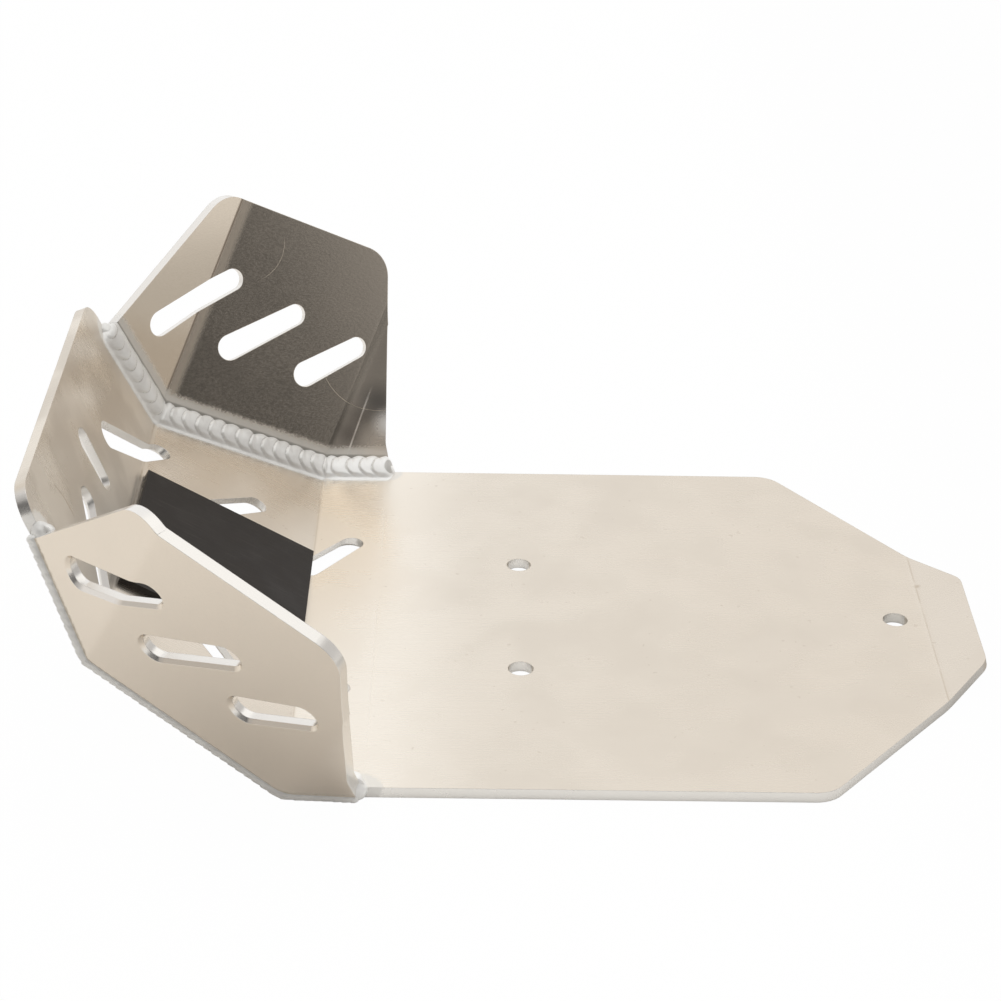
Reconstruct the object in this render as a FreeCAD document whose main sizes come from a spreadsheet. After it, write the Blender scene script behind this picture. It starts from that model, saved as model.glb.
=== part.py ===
import FreeCAD, Part
import math
import os

import Sketcher

# Welded skid plate for an off-road motorcycle.
# The origin is on the underside, on the centre line, midway between the two front bolt holes.
# +X points to the tail of the plate, +Y to its left side and +Z up towards the engine.

# Driving sizes in millimetres and degrees: alias, value, what it is
SIZES = [
    ("sheet_thickness", 4.76, "aluminium sheet, 3/16 in"),
    ("bend_radius", 5.0, "inside radius of every crease of the plate"),
    ("floor_width", 268.0, "flat floor across the bike"),
    ("strip_crease", 63.3, "first crease, ahead of the front bolt holes"),
    ("strip_length", 31.1, "narrow strip between the first crease and the ramp"),
    ("strip_angle", 1.0, "rise of the strip"),
    ("ramp_length", 87.8, "ramp, measured along the sheet"),
    ("ramp_angle", 29.2, "rise of the ramp"),
    ("ramp_foot_width", 265.5, "plate width where the ramp starts"),
    ("ramp_head_width", 211.0, "plate width where the ramp ends"),
    ("panel_length", 70.6, "steep front panel, measured along the sheet"),
    ("panel_angle", 67.9, "rise of the front panel"),
    ("panel_straight_length", 19.6, "length of the front panel's parallel sides, above the taper"),
    ("panel_top_width", 187.0, "width of the front panel at its top"),
    ("panel_corner_radius", 13.0, "rounded top corners of the front panel"),
    ("tail_crease", 180.3, "last crease, behind the front bolt holes"),
    ("tail_length", 20.4, "turned-up tail, measured along the sheet"),
    ("tail_angle", 15.3, "rise of the tail"),
    ("tail_crease_radius", 18.0, "inside radius of the tail's soft crease"),
    ("corner_cut_start", 123.4, "where the rear corner cuts start, behind the front bolt holes"),
    ("tail_left_width", 56.2, "centre line to the left edge at the tail crease"),
    ("tail_right_width", 66.0, "centre line to the right edge at the tail crease"),
    ("floor_corner_radius", 14.0, "rounding where the rear corner cuts start"),
    ("tail_corner_radius", 11.0, "rounding of the tail's corners"),
    ("hole_diameter", 11.0, "bolt holes"),
    ("hole_spacing", 88.9, "between the front bolt holes"),
    ("rear_hole_distance", 166.9, "front bolt holes to the rear bolt hole"),
    ("vent_big_radius", 6.2, "front end of a vent slot"),
    ("vent_small_radius", 5.2, "rear end of a vent slot"),
    ("vent_chamfer", 1.5, "broken edge round every vent on the outside of the sheet"),
    ("centre_vent_top", 43.5, "centre vent's big end, up the panel from the ramp's head crease"),
    ("centre_vent_foot", 24.0, "centre vent's small end, up the panel"),
    ("side_vent_rise", 30.3, "side vent's big end, up the panel from the ramp's head crease"),
    ("side_vent_inner", 30.5, "side vent's big end, from the centre line"),
    ("side_vent_drop", 5.5, "side vent's small end, down the ramp"),
    ("side_vent_outer", 74.0, "side vent's small end, from the centre line"),
    ("ramp_vent_start", 30.5, "ramp vent's big end, down the ramp from its head crease"),
    ("ramp_vent_inner", 41.5, "ramp vent's big end, from the centre line"),
    ("ramp_vent_end", 56.2, "ramp vent's small end, down the ramp"),
    ("ramp_vent_outer", 69.8, "ramp vent's small end, from the centre line"),
    ("foot_vent_rise", 2.1, "foot vent's big end, up the ramp from its foot crease"),
    ("foot_vent_inner", 37.0, "foot vent's big end, from the centre line"),
    ("foot_vent_run", 16.9, "foot vent's small end, along the strip"),
    ("foot_vent_outer", 62.0, "foot vent's small end, from the centre line"),
    ("wing_height", 110.5, "wing, measured up the sheet from the ramp"),
    ("wing_lean", 20.5, "outward lean of the wing's middle facet"),
    ("wing_rear_edge", 65.6, "rear edge of the wing, ahead of the front bolt holes"),
    ("wing_front_run", 11.8, "wing's top edge, front fold to the upper front corner"),
    ("wing_foot_drop", 4.0, "how far the wing's foot reaches down beside the strip"),
    ("wing_foot_flare", 3.6, "how far the foot runs out behind the rear edge"),
    ("wing_foot_height", 14.0, "height of that run-out"),
    ("wing_front_corner_radius", 17.0, "rounded upper front corner of the wing"),
    ("wing_rear_corner_radius", 15.0, "rounded upper rear corner of the wing"),
    ("front_fold_offset", 7.2, "run of the front fold from the ramp's head to the wing's top"),
    ("front_fold_radius", 5.0, "inside radius of the front fold"),
    ("rear_fold_offset", 10.0, "run of the rear fold over the height of the wing's middle"),
    ("rear_fold_radius", 14.0, "inside radius of the rear fold"),
    ("front_slot_run", 36.7, "front wing vent's big end, up the front edge from the ramp's head"),
    ("front_slot_rise", 25.2, "front wing vent's big end, away from that edge"),
    ("front_slot_end_run", 14.2, "front wing vent's small end, along the ramp from its head"),
    ("front_slot_end_rise", 71.4, "front wing vent's small end, up the wing"),
    ("middle_slot_run", 23.7, "middle wing vent's big end, along the ramp from its head"),
    ("middle_slot_rise", 40.6, "middle wing vent's big end, up the wing"),
    ("middle_slot_end_run", 50.5, "middle wing vent's small end, along the ramp"),
    ("middle_slot_end_rise", 65.8, "middle wing vent's small end, up the wing"),
    ("rear_slot_run", 65.3, "rear wing vent's big end, along the ramp from its head"),
    ("rear_slot_rise", 40.6, "rear wing vent's big end, up the wing"),
    ("rear_slot_end_run", 86.8, "rear wing vent's small end, along the ramp"),
    ("rear_slot_end_rise", 61.0, "rear wing vent's small end, up the wing"),
    ("wing_set_run", 1.0, "left wing's edges and vents further back, right wing's further forward"),
    ("slot_set_rise", 1.4, "left wing's vents higher, right wing's lower"),
    ("inner_bead_leg", 7.6, "leg of the rippled inner weld bead"),
    ("inner_bead_swell", 1.5, "height of that bead over a flat fillet"),
    ("outer_bead_radius", 3.1, "radius of the outer corner bead"),
    ("outer_bead_sink", 0.6, "how far the outer bead's middle sits inside the sheets' corners"),
    ("ripple_pitch", 6.0, "one ripple of a weld bead"),
    ("ripple_depth", 0.7, "valley between two ripples"),
    ("bead_end_radius", 5.6, "round end of the inner bead"),
    ("pad_width", 96.0, "rubber pad across the ramp"),
    ("pad_thickness", 3.0, "rubber pad"),
    ("pad_gap", 0.2, "both ends of the pad to the creases' rounding"),
]

doc = FreeCAD.newDocument("SkidPlate")
sheet = doc.addObject("Spreadsheet::Sheet", "Sizes")
for row, (alias, value, meaning) in enumerate(SIZES, start=1):
    sheet.set(f"A{row}", meaning)
    sheet.set(f"B{row}", str(value))
    sheet.setAlias(f"B{row}", alias)
doc.recompute()


def size(alias):
    """A driving size as a plain number."""
    return float(sheet.get(alias))


def worked_out(expression):
    """The number that an expression over the sheet gives now."""
    return float(sheet.evalExpression(expression))


def vec(x, y, z):
    return FreeCAD.Vector(x, y, z)


def unit(v):
    return vec(v.x, v.y, v.z).normalize()


# Expressions for the creases of the plate's upper face, from the tail to the front
STRIP_FOOT_X = "-Sizes.strip_crease"
STRIP_HEAD_X = f"({STRIP_FOOT_X} - Sizes.strip_length * cos(Sizes.strip_angle * 1deg))"
STRIP_HEAD_Z = "(Sizes.sheet_thickness + Sizes.strip_length * sin(Sizes.strip_angle * 1deg))"
RAMP_HEAD_X = f"({STRIP_HEAD_X} - Sizes.ramp_length * cos(Sizes.ramp_angle * 1deg))"
RAMP_HEAD_Z = f"({STRIP_HEAD_Z} + Sizes.ramp_length * sin(Sizes.ramp_angle * 1deg))"
PANEL_TOP_X = f"({RAMP_HEAD_X} - Sizes.panel_length * cos(Sizes.panel_angle * 1deg))"
PANEL_TOP_Z = f"({RAMP_HEAD_Z} + Sizes.panel_length * sin(Sizes.panel_angle * 1deg))"
TAIL_END_X = "(Sizes.tail_crease + Sizes.tail_length * cos(Sizes.tail_angle * 1deg))"
TAIL_END_Z = "(Sizes.sheet_thickness + Sizes.tail_length * sin(Sizes.tail_angle * 1deg))"
PANEL_TAPER = "(Sizes.panel_length - Sizes.panel_straight_length)"
TAPER_END_X = f"({RAMP_HEAD_X} - {PANEL_TAPER} * cos(Sizes.panel_angle * 1deg))"
TAPER_END_Z = f"({RAMP_HEAD_Z} + {PANEL_TAPER} * sin(Sizes.panel_angle * 1deg))"


def origin_plane(body, role):
    """One of a body's own base planes."""
    return next(f for f in body.Origin.OriginFeatures if f.Role == role)


def bound_polygon(sketch, corners):
    """A closed outline whose corners are tied to the sheet, one expression per coordinate."""
    points = [vec(worked_out(x), worked_out(y), 0) for x, y in corners]
    first = sketch.GeometryCount
    for start, end in zip(points, points[1:] + points[:1]):
        sketch.addGeometry(Part.LineSegment(start, end), False)
    for index, (x, y) in enumerate(corners):
        line = first + index
        before = first + (index - 1) % len(corners)
        sketch.addConstraint(Sketcher.Constraint("Coincident", before, 2, line, 1))
        for kind, expression, place in (("DistanceX", x, points[index].x), ("DistanceY", y, points[index].y)):
            number = sketch.addConstraint(Sketcher.Constraint(kind, -1, 1, line, 1, place))
            sketch.setExpression(f"Constraints[{number}]", expression)


def bound_circle(sketch, x, y, radius):
    """A circle whose centre and radius are tied to the sheet."""
    centre = vec(worked_out(x), worked_out(y), 0)
    circle = sketch.addGeometry(Part.Circle(centre, vec(0, 0, 1), worked_out(radius)), False)
    for kind, expression, place in (("DistanceX", x, centre.x), ("DistanceY", y, centre.y)):
        number = sketch.addConstraint(Sketcher.Constraint(kind, -1, 1, circle, 3, place))
        sketch.setExpression(f"Constraints[{number}]", expression)
    number = sketch.addConstraint(Sketcher.Constraint("Radius", circle, worked_out(radius)))
    sketch.setExpression(f"Constraints[{number}]", radius)


def tapered_slot(big_end, small_end, grown=0.0):
    """Edges of a vent slot in its own plane: round ends of two radii and the tangents between them."""
    big_radius = size("vent_big_radius") + grown
    small_radius = size("vent_small_radius") + grown
    a = vec(big_end[0], big_end[1], 0)
    b = vec(small_end[0], small_end[1], 0)
    along = unit(b - a)
    across = vec(-along.y, along.x, 0)
    lean = math.asin((big_radius - small_radius) / (b - a).Length)
    left, right = (along * math.sin(lean) + across * (side * math.cos(lean)) for side in (1, -1))
    return [
        Part.LineSegment(a + left * big_radius, b + left * small_radius),
        Part.Arc(b + left * small_radius, b + along * small_radius, b + right * small_radius),
        Part.LineSegment(b + right * small_radius, a + right * big_radius),
        Part.Arc(a + right * big_radius, a - along * big_radius, a + left * big_radius),
    ]


def new_sketch(body, name, role):
    """A sketch on one of the body's own base planes."""
    sketch = body.newObject("Sketcher::SketchObject", name)
    sketch.AttachmentSupport = [(origin_plane(body, role), "")]
    sketch.MapMode = "FlatFace"
    return sketch


def middle_of(edge):
    return edge.valueAt((edge.FirstParameter + edge.LastParameter) / 2)


def cut_both_ways(body, name, sketch):
    """A pocket right through the body on both sides of its sketch; it has to remove metal."""
    before = body.Shape.Volume
    pocket = body.newObject("PartDesign::Pocket", name)
    pocket.Profile = sketch
    pocket.SideType = "Symmetric"
    pocket.Type = "ThroughAll"
    doc.recompute()
    if body.Shape.Volume >= before:
        raise RuntimeError(f"{name} removes nothing")
    return pocket


def edges_where(shape, test):
    """Names of the straight edges whose middle and direction pass a test."""
    names = []
    for index, edge in enumerate(shape.Edges, start=1):
        if edge.Curve.TypeId != "Part::GeomLine":
            continue
        if test(middle_of(edge), unit(edge.tangentAt(edge.FirstParameter))):
            names.append(f"Edge{index}")
    return names


def fillet(body, name, base, edges, radius):
    """A fillet of the named edges with its radius tied to the sheet."""
    if not edges:
        raise RuntimeError(f"{name} finds no edge")
    feature = body.newObject("PartDesign::Fillet", name)
    feature.Base = (base, edges)
    feature.setExpression("Radius", radius)
    doc.recompute()
    return feature


def depth_in_sheet(point, flats):
    """How far a point lies under the inner face of a sheet whose flats all fold towards that side."""
    return -min((point - corner).dot(inner_normal) for corner, inner_normal in flats)


# Rise of each flat of the plate towards the front, from the tail on
SLOPES = ["-Sizes.tail_angle", "0", "Sizes.strip_angle", "Sizes.ramp_angle", "Sizes.panel_angle"]


def under(x, z, slope_behind, slope_ahead):
    """The lower face's corner under a corner of the upper face, on the mitre between two slopes."""
    middle = f"(({slope_behind} + {slope_ahead}) / 2 * 1deg)"
    reach = f"Sizes.sheet_thickness / cos(({slope_ahead} - {slope_behind}) / 2 * 1deg)"
    return f"{x} - {reach} * sin{middle}", f"{z} - {reach} * cos{middle}"


def slope_up(alias):
    """The upper face's normal on a flat of the plate."""
    slope = math.radians(size(alias))
    return vec(math.sin(slope), 0, math.cos(slope))


# Main plate: one sheet bent up from the profile seen from the side
def plate_profile():
    """Corners of the side view, upper face from tail to front and lower face back."""
    upper = [
        (TAIL_END_X, TAIL_END_Z),
        ("Sizes.tail_crease", "Sizes.sheet_thickness"),
        (STRIP_FOOT_X, "Sizes.sheet_thickness"),
        (STRIP_HEAD_X, STRIP_HEAD_Z),
        (RAMP_HEAD_X, RAMP_HEAD_Z),
        (PANEL_TOP_X, PANEL_TOP_Z),
    ]
    behind = SLOPES[:1] + SLOPES
    ahead = SLOPES + SLOPES[-1:]
    lower = [under(x, z, a, b) for (x, z), a, b in zip(upper, behind, ahead)]
    return upper + lower[::-1]


def plan_cuts():
    """Waste outside the plate's outline, seen from above: rear corners and tapering front sides."""
    outside = "Sizes.floor_width"
    beyond_panel = f"({PANEL_TOP_X} - Sizes.panel_straight_length)"
    head_half = "Sizes.ramp_head_width / 2"
    top_half = "Sizes.panel_top_width / 2"
    foot_half = "Sizes.ramp_foot_width / 2"
    floor_half = "Sizes.floor_width / 2"
    cuts = []
    for sign, tail_half in (("", "Sizes.tail_left_width"), ("-", "Sizes.tail_right_width")):
        slope = f"({floor_half} - {tail_half}) / (Sizes.tail_crease - Sizes.corner_cut_start)"
        reach = "(2 * Sizes.tail_length)"
        beyond_x = f"(Sizes.tail_crease + {reach} * cos(Sizes.tail_angle * 1deg))"
        cuts.append([
            ("Sizes.corner_cut_start", f"{sign}{floor_half}"),
            ("Sizes.tail_crease", f"{sign}{tail_half}"),
            (beyond_x, f"{sign}({tail_half} - {slope} * {reach})"),
            (beyond_x, f"{sign}{outside}"),
            ("Sizes.corner_cut_start", f"{sign}{outside}"),
        ])
        cuts.append([
            (STRIP_FOOT_X, f"{sign}{floor_half}"),
            (STRIP_HEAD_X, f"{sign}{foot_half}"),
            (RAMP_HEAD_X, f"{sign}{head_half}"),
            (TAPER_END_X, f"{sign}{top_half}"),
            (beyond_panel, f"{sign}{top_half}"),
            (beyond_panel, f"{sign}{outside}"),
            (STRIP_FOOT_X, f"{sign}{outside}"),
        ])
    return cuts


def across_crease(body, name, crease_x, crease_z, slope):
    """A sketch through a crease of the upper face, its x axis falling to the tail by a given slope."""
    sketch = new_sketch(body, name, "XY_Plane")
    turn = FreeCAD.Rotation(vec(0, 1, 0), worked_out(slope))
    sketch.AttachmentOffset = FreeCAD.Placement(vec(worked_out(crease_x), 0, worked_out(crease_z)), turn)
    sketch.setExpression(".AttachmentOffset.Base.x", crease_x)
    sketch.setExpression(".AttachmentOffset.Base.z", crease_z)
    sketch.setExpression(".AttachmentOffset.Rotation.Angle", slope)
    return sketch


def bound_vent(sketch, big_end, small_end, growth="0"):
    """A vent slot, grown all round by a growth, whose two centres and two radii are tied to the sheet."""
    centres = [big_end, small_end]
    places = [(worked_out(x), worked_out(y)) for x, y in centres]
    first = sketch.GeometryCount
    sketch.addGeometry(tapered_slot(*places, worked_out(growth)), False)
    side_one, small_arc, side_two, big_arc = range(first, first + 4)
    for arc, centre, place, radius in ((big_arc, big_end, places[0], f"Sizes.vent_big_radius + {growth}"),
                                       (small_arc, small_end, places[1], f"Sizes.vent_small_radius + {growth}")):
        for kind, expression, value in (("DistanceX", centre[0], place[0]), ("DistanceY", centre[1], place[1])):
            number = sketch.addConstraint(Sketcher.Constraint(kind, -1, 1, arc, 3, value))
            sketch.setExpression(f"Constraints[{number}]", expression)
        number = sketch.addConstraint(Sketcher.Constraint("Radius", arc, worked_out(radius)))
        sketch.setExpression(f"Constraints[{number}]", radius)
    joins = [(side_one, 2, small_arc), (side_two, 1, small_arc), (side_two, 2, big_arc), (side_one, 1, big_arc)]
    for line, line_end, arc in joins:
        place = sketch.getPoint(line, line_end)
        arc_end = 1 if (sketch.getPoint(arc, 1) - place).Length < 0.01 else 2
        sketch.addConstraint(Sketcher.Constraint("Tangent", line, line_end, arc, arc_end))


def countersink(body, name, corner, slope, slots):
    """The broken edge of vents on the outside of one flat, as a pocket that narrows at 45 degrees."""
    before = body.Shape.Volume
    sketch = across_crease(body, name, *corner, slope)
    for big_end, small_end in slots:
        bound_vent(sketch, big_end, small_end, "Sizes.vent_chamfer")
    pocket = body.newObject("PartDesign::Pocket", name + "Cut")
    pocket.Profile = sketch
    pocket.Reversed = True
    pocket.setExpression("Length", "Sizes.vent_chamfer")
    pocket.TaperAngle = -45
    doc.recompute()
    if body.Shape.Volume >= before:
        raise RuntimeError(f"{name} removes nothing")
    return pocket


def main_plate():
    body = doc.addObject("PartDesign::Body", "MainPlate")
    body.Label = "main_plate"

    side_view = new_sketch(body, "SideView", "XZ_Plane")
    bound_polygon(side_view, plate_profile())
    bar = body.newObject("PartDesign::Pad", "BentSheet")
    bar.Profile = side_view
    bar.SideType = "Symmetric"
    bar.setExpression("Length", "Sizes.floor_width")
    doc.recompute()

    # Every crease has its inside radius on the upper face, and that radius plus the sheet below
    creases = [
        ("TailCrease", "Sizes.tail_crease", "Sizes.sheet_thickness", SLOPES[0:2], "Sizes.tail_crease_radius"),
        ("RampFootCrease", STRIP_HEAD_X, STRIP_HEAD_Z, SLOPES[2:4], "Sizes.bend_radius"),
        ("RampHeadCrease", RAMP_HEAD_X, RAMP_HEAD_Z, SLOPES[3:5], "Sizes.bend_radius"),
    ]
    last = bar
    for name, x, z, slopes, radius in creases:
        below = under(x, z, *slopes)
        sides = [("Inside", (x, z), radius), ("Outside", below, f"{radius} + Sizes.sheet_thickness")]
        for side, place, grown in sides:
            corner = vec(worked_out(place[0]), 0, worked_out(place[1]))
            edges = edges_where(last.Shape, lambda middle, along: (middle - corner).Length < 0.01)
            last = fillet(body, name + side, last, edges, grown)

    outline = new_sketch(body, "Outline", "XY_Plane")
    for corners in plan_cuts():
        bound_polygon(outline, corners)
    last = cut_both_ways(body, "OutlineCut", outline)

    # Rounded corners: where the rear cuts start, at the tail's tip and at the top of the front panel
    thickness = size("sheet_thickness")
    floor_corner_x = size("corner_cut_start")
    edges = edges_where(last.Shape, lambda middle, along: abs(along.z) > 0.99
                        and abs(middle.x - floor_corner_x) < 0.1)
    last = fillet(body, "FloorCorners", last, edges, "Sizes.floor_corner_radius")
    tail_x = worked_out(TAIL_END_X)
    edges = edges_where(last.Shape, lambda middle, along: abs(along.z) > 0.8
                        and abs(middle.x - tail_x) < thickness)
    last = fillet(body, "TailCorners", last, edges, "Sizes.tail_corner_radius")
    panel_x = worked_out(PANEL_TOP_X)
    steep = math.radians(size("panel_angle"))
    panel_up = vec(math.sin(steep), 0, math.cos(steep))
    edges = edges_where(last.Shape, lambda middle, along: abs(along.dot(panel_up)) > 0.99
                        and abs(middle.x - panel_x) < thickness)
    last = fillet(body, "PanelCorners", last, edges, "Sizes.panel_corner_radius")

    holes = new_sketch(body, "BoltHoles", "XY_Plane")
    for x, y in (("0", "Sizes.hole_spacing / 2"), ("0", "-Sizes.hole_spacing / 2"),
                 ("Sizes.rear_hole_distance", "0")):
        bound_circle(holes, x, y, "Sizes.hole_diameter / 2")
    last = cut_both_ways(body, "BoltHolesCut", holes)

    # Vent slots: a slot over a crease is cut square to the plane halfway between the two slopes, and
    # its outer edge is broken on both flats. Runs are measured along the sheet from the crease.
    head = (RAMP_HEAD_X, RAMP_HEAD_Z)
    foot = (STRIP_HEAD_X, STRIP_HEAD_Z)
    panel, ramp, strip = "Sizes.panel_angle", "Sizes.ramp_angle", "Sizes.strip_angle"
    both_sides = ("", "-")
    vents = [
        ("CentreVent", head, (panel, panel), [
            ("-Sizes.centre_vent_top", "0", "-Sizes.centre_vent_foot", "0")]),
        ("SideVents", head, (ramp, panel), [
            ("-Sizes.side_vent_rise", f"{side}Sizes.side_vent_inner",
             "Sizes.side_vent_drop", f"{side}Sizes.side_vent_outer") for side in both_sides]),
        ("RampVents", head, (ramp, ramp), [
            ("Sizes.ramp_vent_start", f"{side}Sizes.ramp_vent_inner",
             "Sizes.ramp_vent_end", f"{side}Sizes.ramp_vent_outer") for side in both_sides]),
        ("FootVents", foot, (strip, ramp), [
            ("-Sizes.foot_vent_rise", f"{side}Sizes.foot_vent_inner",
             "Sizes.foot_vent_run", f"{side}Sizes.foot_vent_outer") for side in both_sides]),
    ]
    for name, crease, (behind, ahead), slots in vents:
        shrink = f"cos(({ahead} - {behind}) / 2 * 1deg)"
        sketch = across_crease(body, name, *crease, f"({behind} + {ahead}) / 2")
        for big_run, big_y, small_run, small_y in slots:
            bound_vent(sketch, (f"{big_run} * {shrink}", big_y), (f"{small_run} * {shrink}", small_y))
        last = cut_both_ways(body, name + "Cut", sketch)
        ends = [((big_run, big_y), (small_run, small_y)) for big_run, big_y, small_run, small_y in slots]
        for slope in sorted({behind, ahead}):
            flat_name = slope.split(".")[1].split("_")[0].title()
            last = countersink(body, name + flat_name + "Edge", under(*crease, behind, ahead), slope, ends)
    body.Tip = last
    doc.recompute()
    return body


# Rubber pad: a thin sheet stuck on the ramp, just behind its head crease
def rubber_pad():
    body = doc.addObject("PartDesign::Body", "RubberPad")
    body.Label = "rubber_pad"
    outline = new_sketch(body, "PadOutline", "XY_Plane")
    half = "Sizes.pad_width / 2"
    head_round = "Sizes.bend_radius * tan((Sizes.panel_angle - Sizes.ramp_angle) / 2 * 1deg)"
    foot_round = "Sizes.bend_radius * tan((Sizes.ramp_angle - Sizes.strip_angle) / 2 * 1deg)"
    start = f"({head_round} + Sizes.pad_gap)"
    end = f"(Sizes.ramp_length - {foot_round} - Sizes.pad_gap)"
    bound_polygon(outline, [(start, f"-{half}"), (end, f"-{half}"), (end, half), (start, half)])
    pad = body.newObject("PartDesign::Pad", "PadSheet")
    pad.Profile = outline
    pad.setExpression("Length", "Sizes.pad_thickness")
    place = vec(worked_out(RAMP_HEAD_X), 0, worked_out(RAMP_HEAD_Z))
    body.Placement = FreeCAD.Placement(place, FreeCAD.Rotation(vec(0, 1, 0), size("ramp_angle")))
    doc.recompute()
    return body


# Everything below lies on planes that lean two ways, so it is worked out from the plate's corners
THICKNESS = size("sheet_thickness")
FAR = 2 * size("floor_width")
OVERLAP = THICKNESS / 50
RIPPLE_CROWN = 0.35
ARC_SPAN_COUNT = 6
ROUND_SIDE_COUNT = 10
BALL_SIDE_COUNT = 12


class Facet:
    """A flat part of the wing: u runs along its lower edge, v up the sheet, inward faces the engine."""

    def __init__(self, corner, along, inward):
        self.corner = corner
        self.u = unit(along)
        self.inward = unit(inward)
        self.v = unit(self.u.cross(self.inward))
        if self.v.z < 0:
            self.v = self.v * -1

    def at(self, u, v):
        return self.corner + self.u * u + self.v * v

    def across_x(self, x, v):
        """The point at height v whose x is given."""
        return self.at((x - self.corner.x - self.v.x * v) / self.u.x, v)


def towards(direction, goal):
    """A direction, or its opposite where that points more towards the goal."""
    return direction if direction.dot(goal) > 0 else direction * -1


def away_from(axis, facet, other):
    """The direction in a facet that leaves a fold; the sheet folds towards the inside."""
    return towards(unit(facet.inward.cross(axis)), other.inward)


class Flank:
    """One side of the plate, 1 for left and -1 for right: the corners and facets of the wing there."""

    def __init__(self, side):
        self.inside = vec(0, -side, 0)
        self.strip_foot = vec(worked_out(STRIP_FOOT_X), side * size("floor_width") / 2, THICKNESS)
        self.ramp_foot = vec(worked_out(STRIP_HEAD_X), side * size("ramp_foot_width") / 2,
                             worked_out(STRIP_HEAD_Z))
        self.ramp_head = vec(worked_out(RAMP_HEAD_X), side * size("ramp_head_width") / 2,
                             worked_out(RAMP_HEAD_Z))
        self.panel_edge = vec(worked_out(TAPER_END_X), side * size("panel_top_width") / 2,
                              worked_out(TAPER_END_Z))
        along = unit(self.ramp_foot - self.ramp_head)
        level = towards(unit(vec(-along.y, along.x, 0)), self.inside)
        upright = towards(unit(along.cross(level)), vec(0, 0, 1))
        lean = math.radians(size("wing_lean"))
        self.middle = Facet(self.ramp_head, along, upright * math.sin(lean) + level * math.cos(lean))
        self.front_top = self.middle.at(size("front_fold_offset"), size("wing_height"))
        self.front = self.facet_through(self.ramp_head, self.panel_edge, self.front_top)
        self.foot_u = (self.ramp_foot - self.ramp_head).Length
        self.rear_top = self.middle.at(self.foot_u + size("rear_fold_offset"), size("wing_height"))
        self.rear = self.facet_through(self.ramp_foot, self.strip_foot, self.rear_top)
        self.set_back = side * size("wing_set_run")
        self.set_up = side * size("slot_set_rise")
        self.rear_x = self.set_back - size("wing_rear_edge")

    def facet_through(self, corner, second, third):
        """The facet through three points, its lower edge from the first to the second."""
        normal = unit((second - corner).cross(third - corner))
        return Facet(corner, second - corner, towards(normal, self.inside))

    def vent_ends(self):
        """Both ends of the three vents on the inner face, each pair with the direction it is cut along."""
        back, raised = self.set_back, self.set_up
        both = self.front.inward + self.middle.inward
        front_end = self.front.at(size("front_slot_run") - back, size("front_slot_rise") + raised)
        rear_end = self.middle.at(size("front_slot_end_run") + back, size("front_slot_end_rise") + raised)
        ends = [(front_end, rear_end, both)]
        for name in ("middle_slot", "rear_slot"):
            big_end = self.middle.at(size(name + "_run") + back, size(name + "_rise") + raised)
            small_end = self.middle.at(size(name + "_end_run") + back, size(name + "_end_rise") + raised)
            ends.append((big_end, small_end, self.middle.inward))
        return ends

    def joints(self):
        """The welded joints from front to rear: ends, plate normal, wing normal."""
        rear_end = self.rear.across_x(self.rear_x, 0)
        return [
            (self.panel_edge, self.ramp_head, slope_up("panel_angle"), self.front.inward),
            (self.ramp_head, self.ramp_foot, slope_up("ramp_angle"), self.middle.inward),
            (self.ramp_foot, rear_end, slope_up("strip_angle"), self.rear.inward),
        ]


def keep_behind(shape, point, normal):
    """The part of a shape behind a plane, on the side that the plane's normal points away from."""
    half = Part.makeBox(2 * FAR, 2 * FAR, FAR, vec(-FAR, -FAR, 0))
    half.Placement = FreeCAD.Placement(point, FreeCAD.Rotation(vec(0, 0, 1), normal))
    return shape.cut(half)


def rounded_wire(corners):
    """A closed wire in space through corners, each a point and a radius, with tangent arcs."""
    edges = []
    ends = []
    for index, (point, radius) in enumerate(corners):
        before = unit(corners[index - 1][0] - point)
        after = unit(corners[(index + 1) % len(corners)][0] - point)
        if radius == 0:
            ends.append((point, point))
            continue
        half = before.getAngle(after) / 2
        reach = radius / math.tan(half)
        crown = point + unit(before + after) * (radius / math.sin(half) - radius)
        first, last = point + before * reach, point + after * reach
        edges.append(Part.Arc(first, crown, last).toShape())
        ends.append((first, last))
    for (_, leave), (reach_next, _) in zip(ends, ends[1:] + ends[:1]):
        edges.append(Part.LineSegment(leave, reach_next).toShape())
    return Part.Wire(Part.__sortEdges__(edges))


def through_sheet(corners, inward):
    """A block along a direction, inside an outline, thick enough to take in the sheet and its folds."""
    face = Part.Face(rounded_wire(corners))
    face.translate(inward * THICKNESS)
    return face.extrude(inward * -3 * THICKNESS)


def folded_sheet(start, end, first, second, radius):
    """Endless sheet on both sides of one fold, with the bend's two faces as arcs about one centre."""
    axis = unit(end - start)
    foot = start - axis * FAR / 2
    turn = first.inward.getAngle(second.inward)
    bisector = unit(first.inward + second.inward)
    centre = foot + bisector * (radius / math.cos(turn / 2))
    first_far = foot + away_from(axis, first, second) * FAR
    second_far = foot + away_from(axis, second, first) * FAR
    faces = []
    for depth in (0.0, THICKNESS):
        grown = radius + depth
        faces.append([
            first_far - first.inward * depth,
            centre - first.inward * grown,
            centre - bisector * grown,
            centre - second.inward * grown,
            second_far - second.inward * depth,
        ])
    inner, outer = faces
    edges = [Part.LineSegment(inner[0], outer[0]).toShape(), Part.LineSegment(inner[4], outer[4]).toShape()]
    for side in faces:
        edges.append(Part.LineSegment(side[0], side[1]).toShape())
        edges.append(Part.Arc(side[1], side[2], side[3]).toShape())
        edges.append(Part.LineSegment(side[3], side[4]).toShape())
    return Part.Face(Part.Wire(Part.__sortEdges__(edges))).extrude(axis * FAR)


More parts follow.
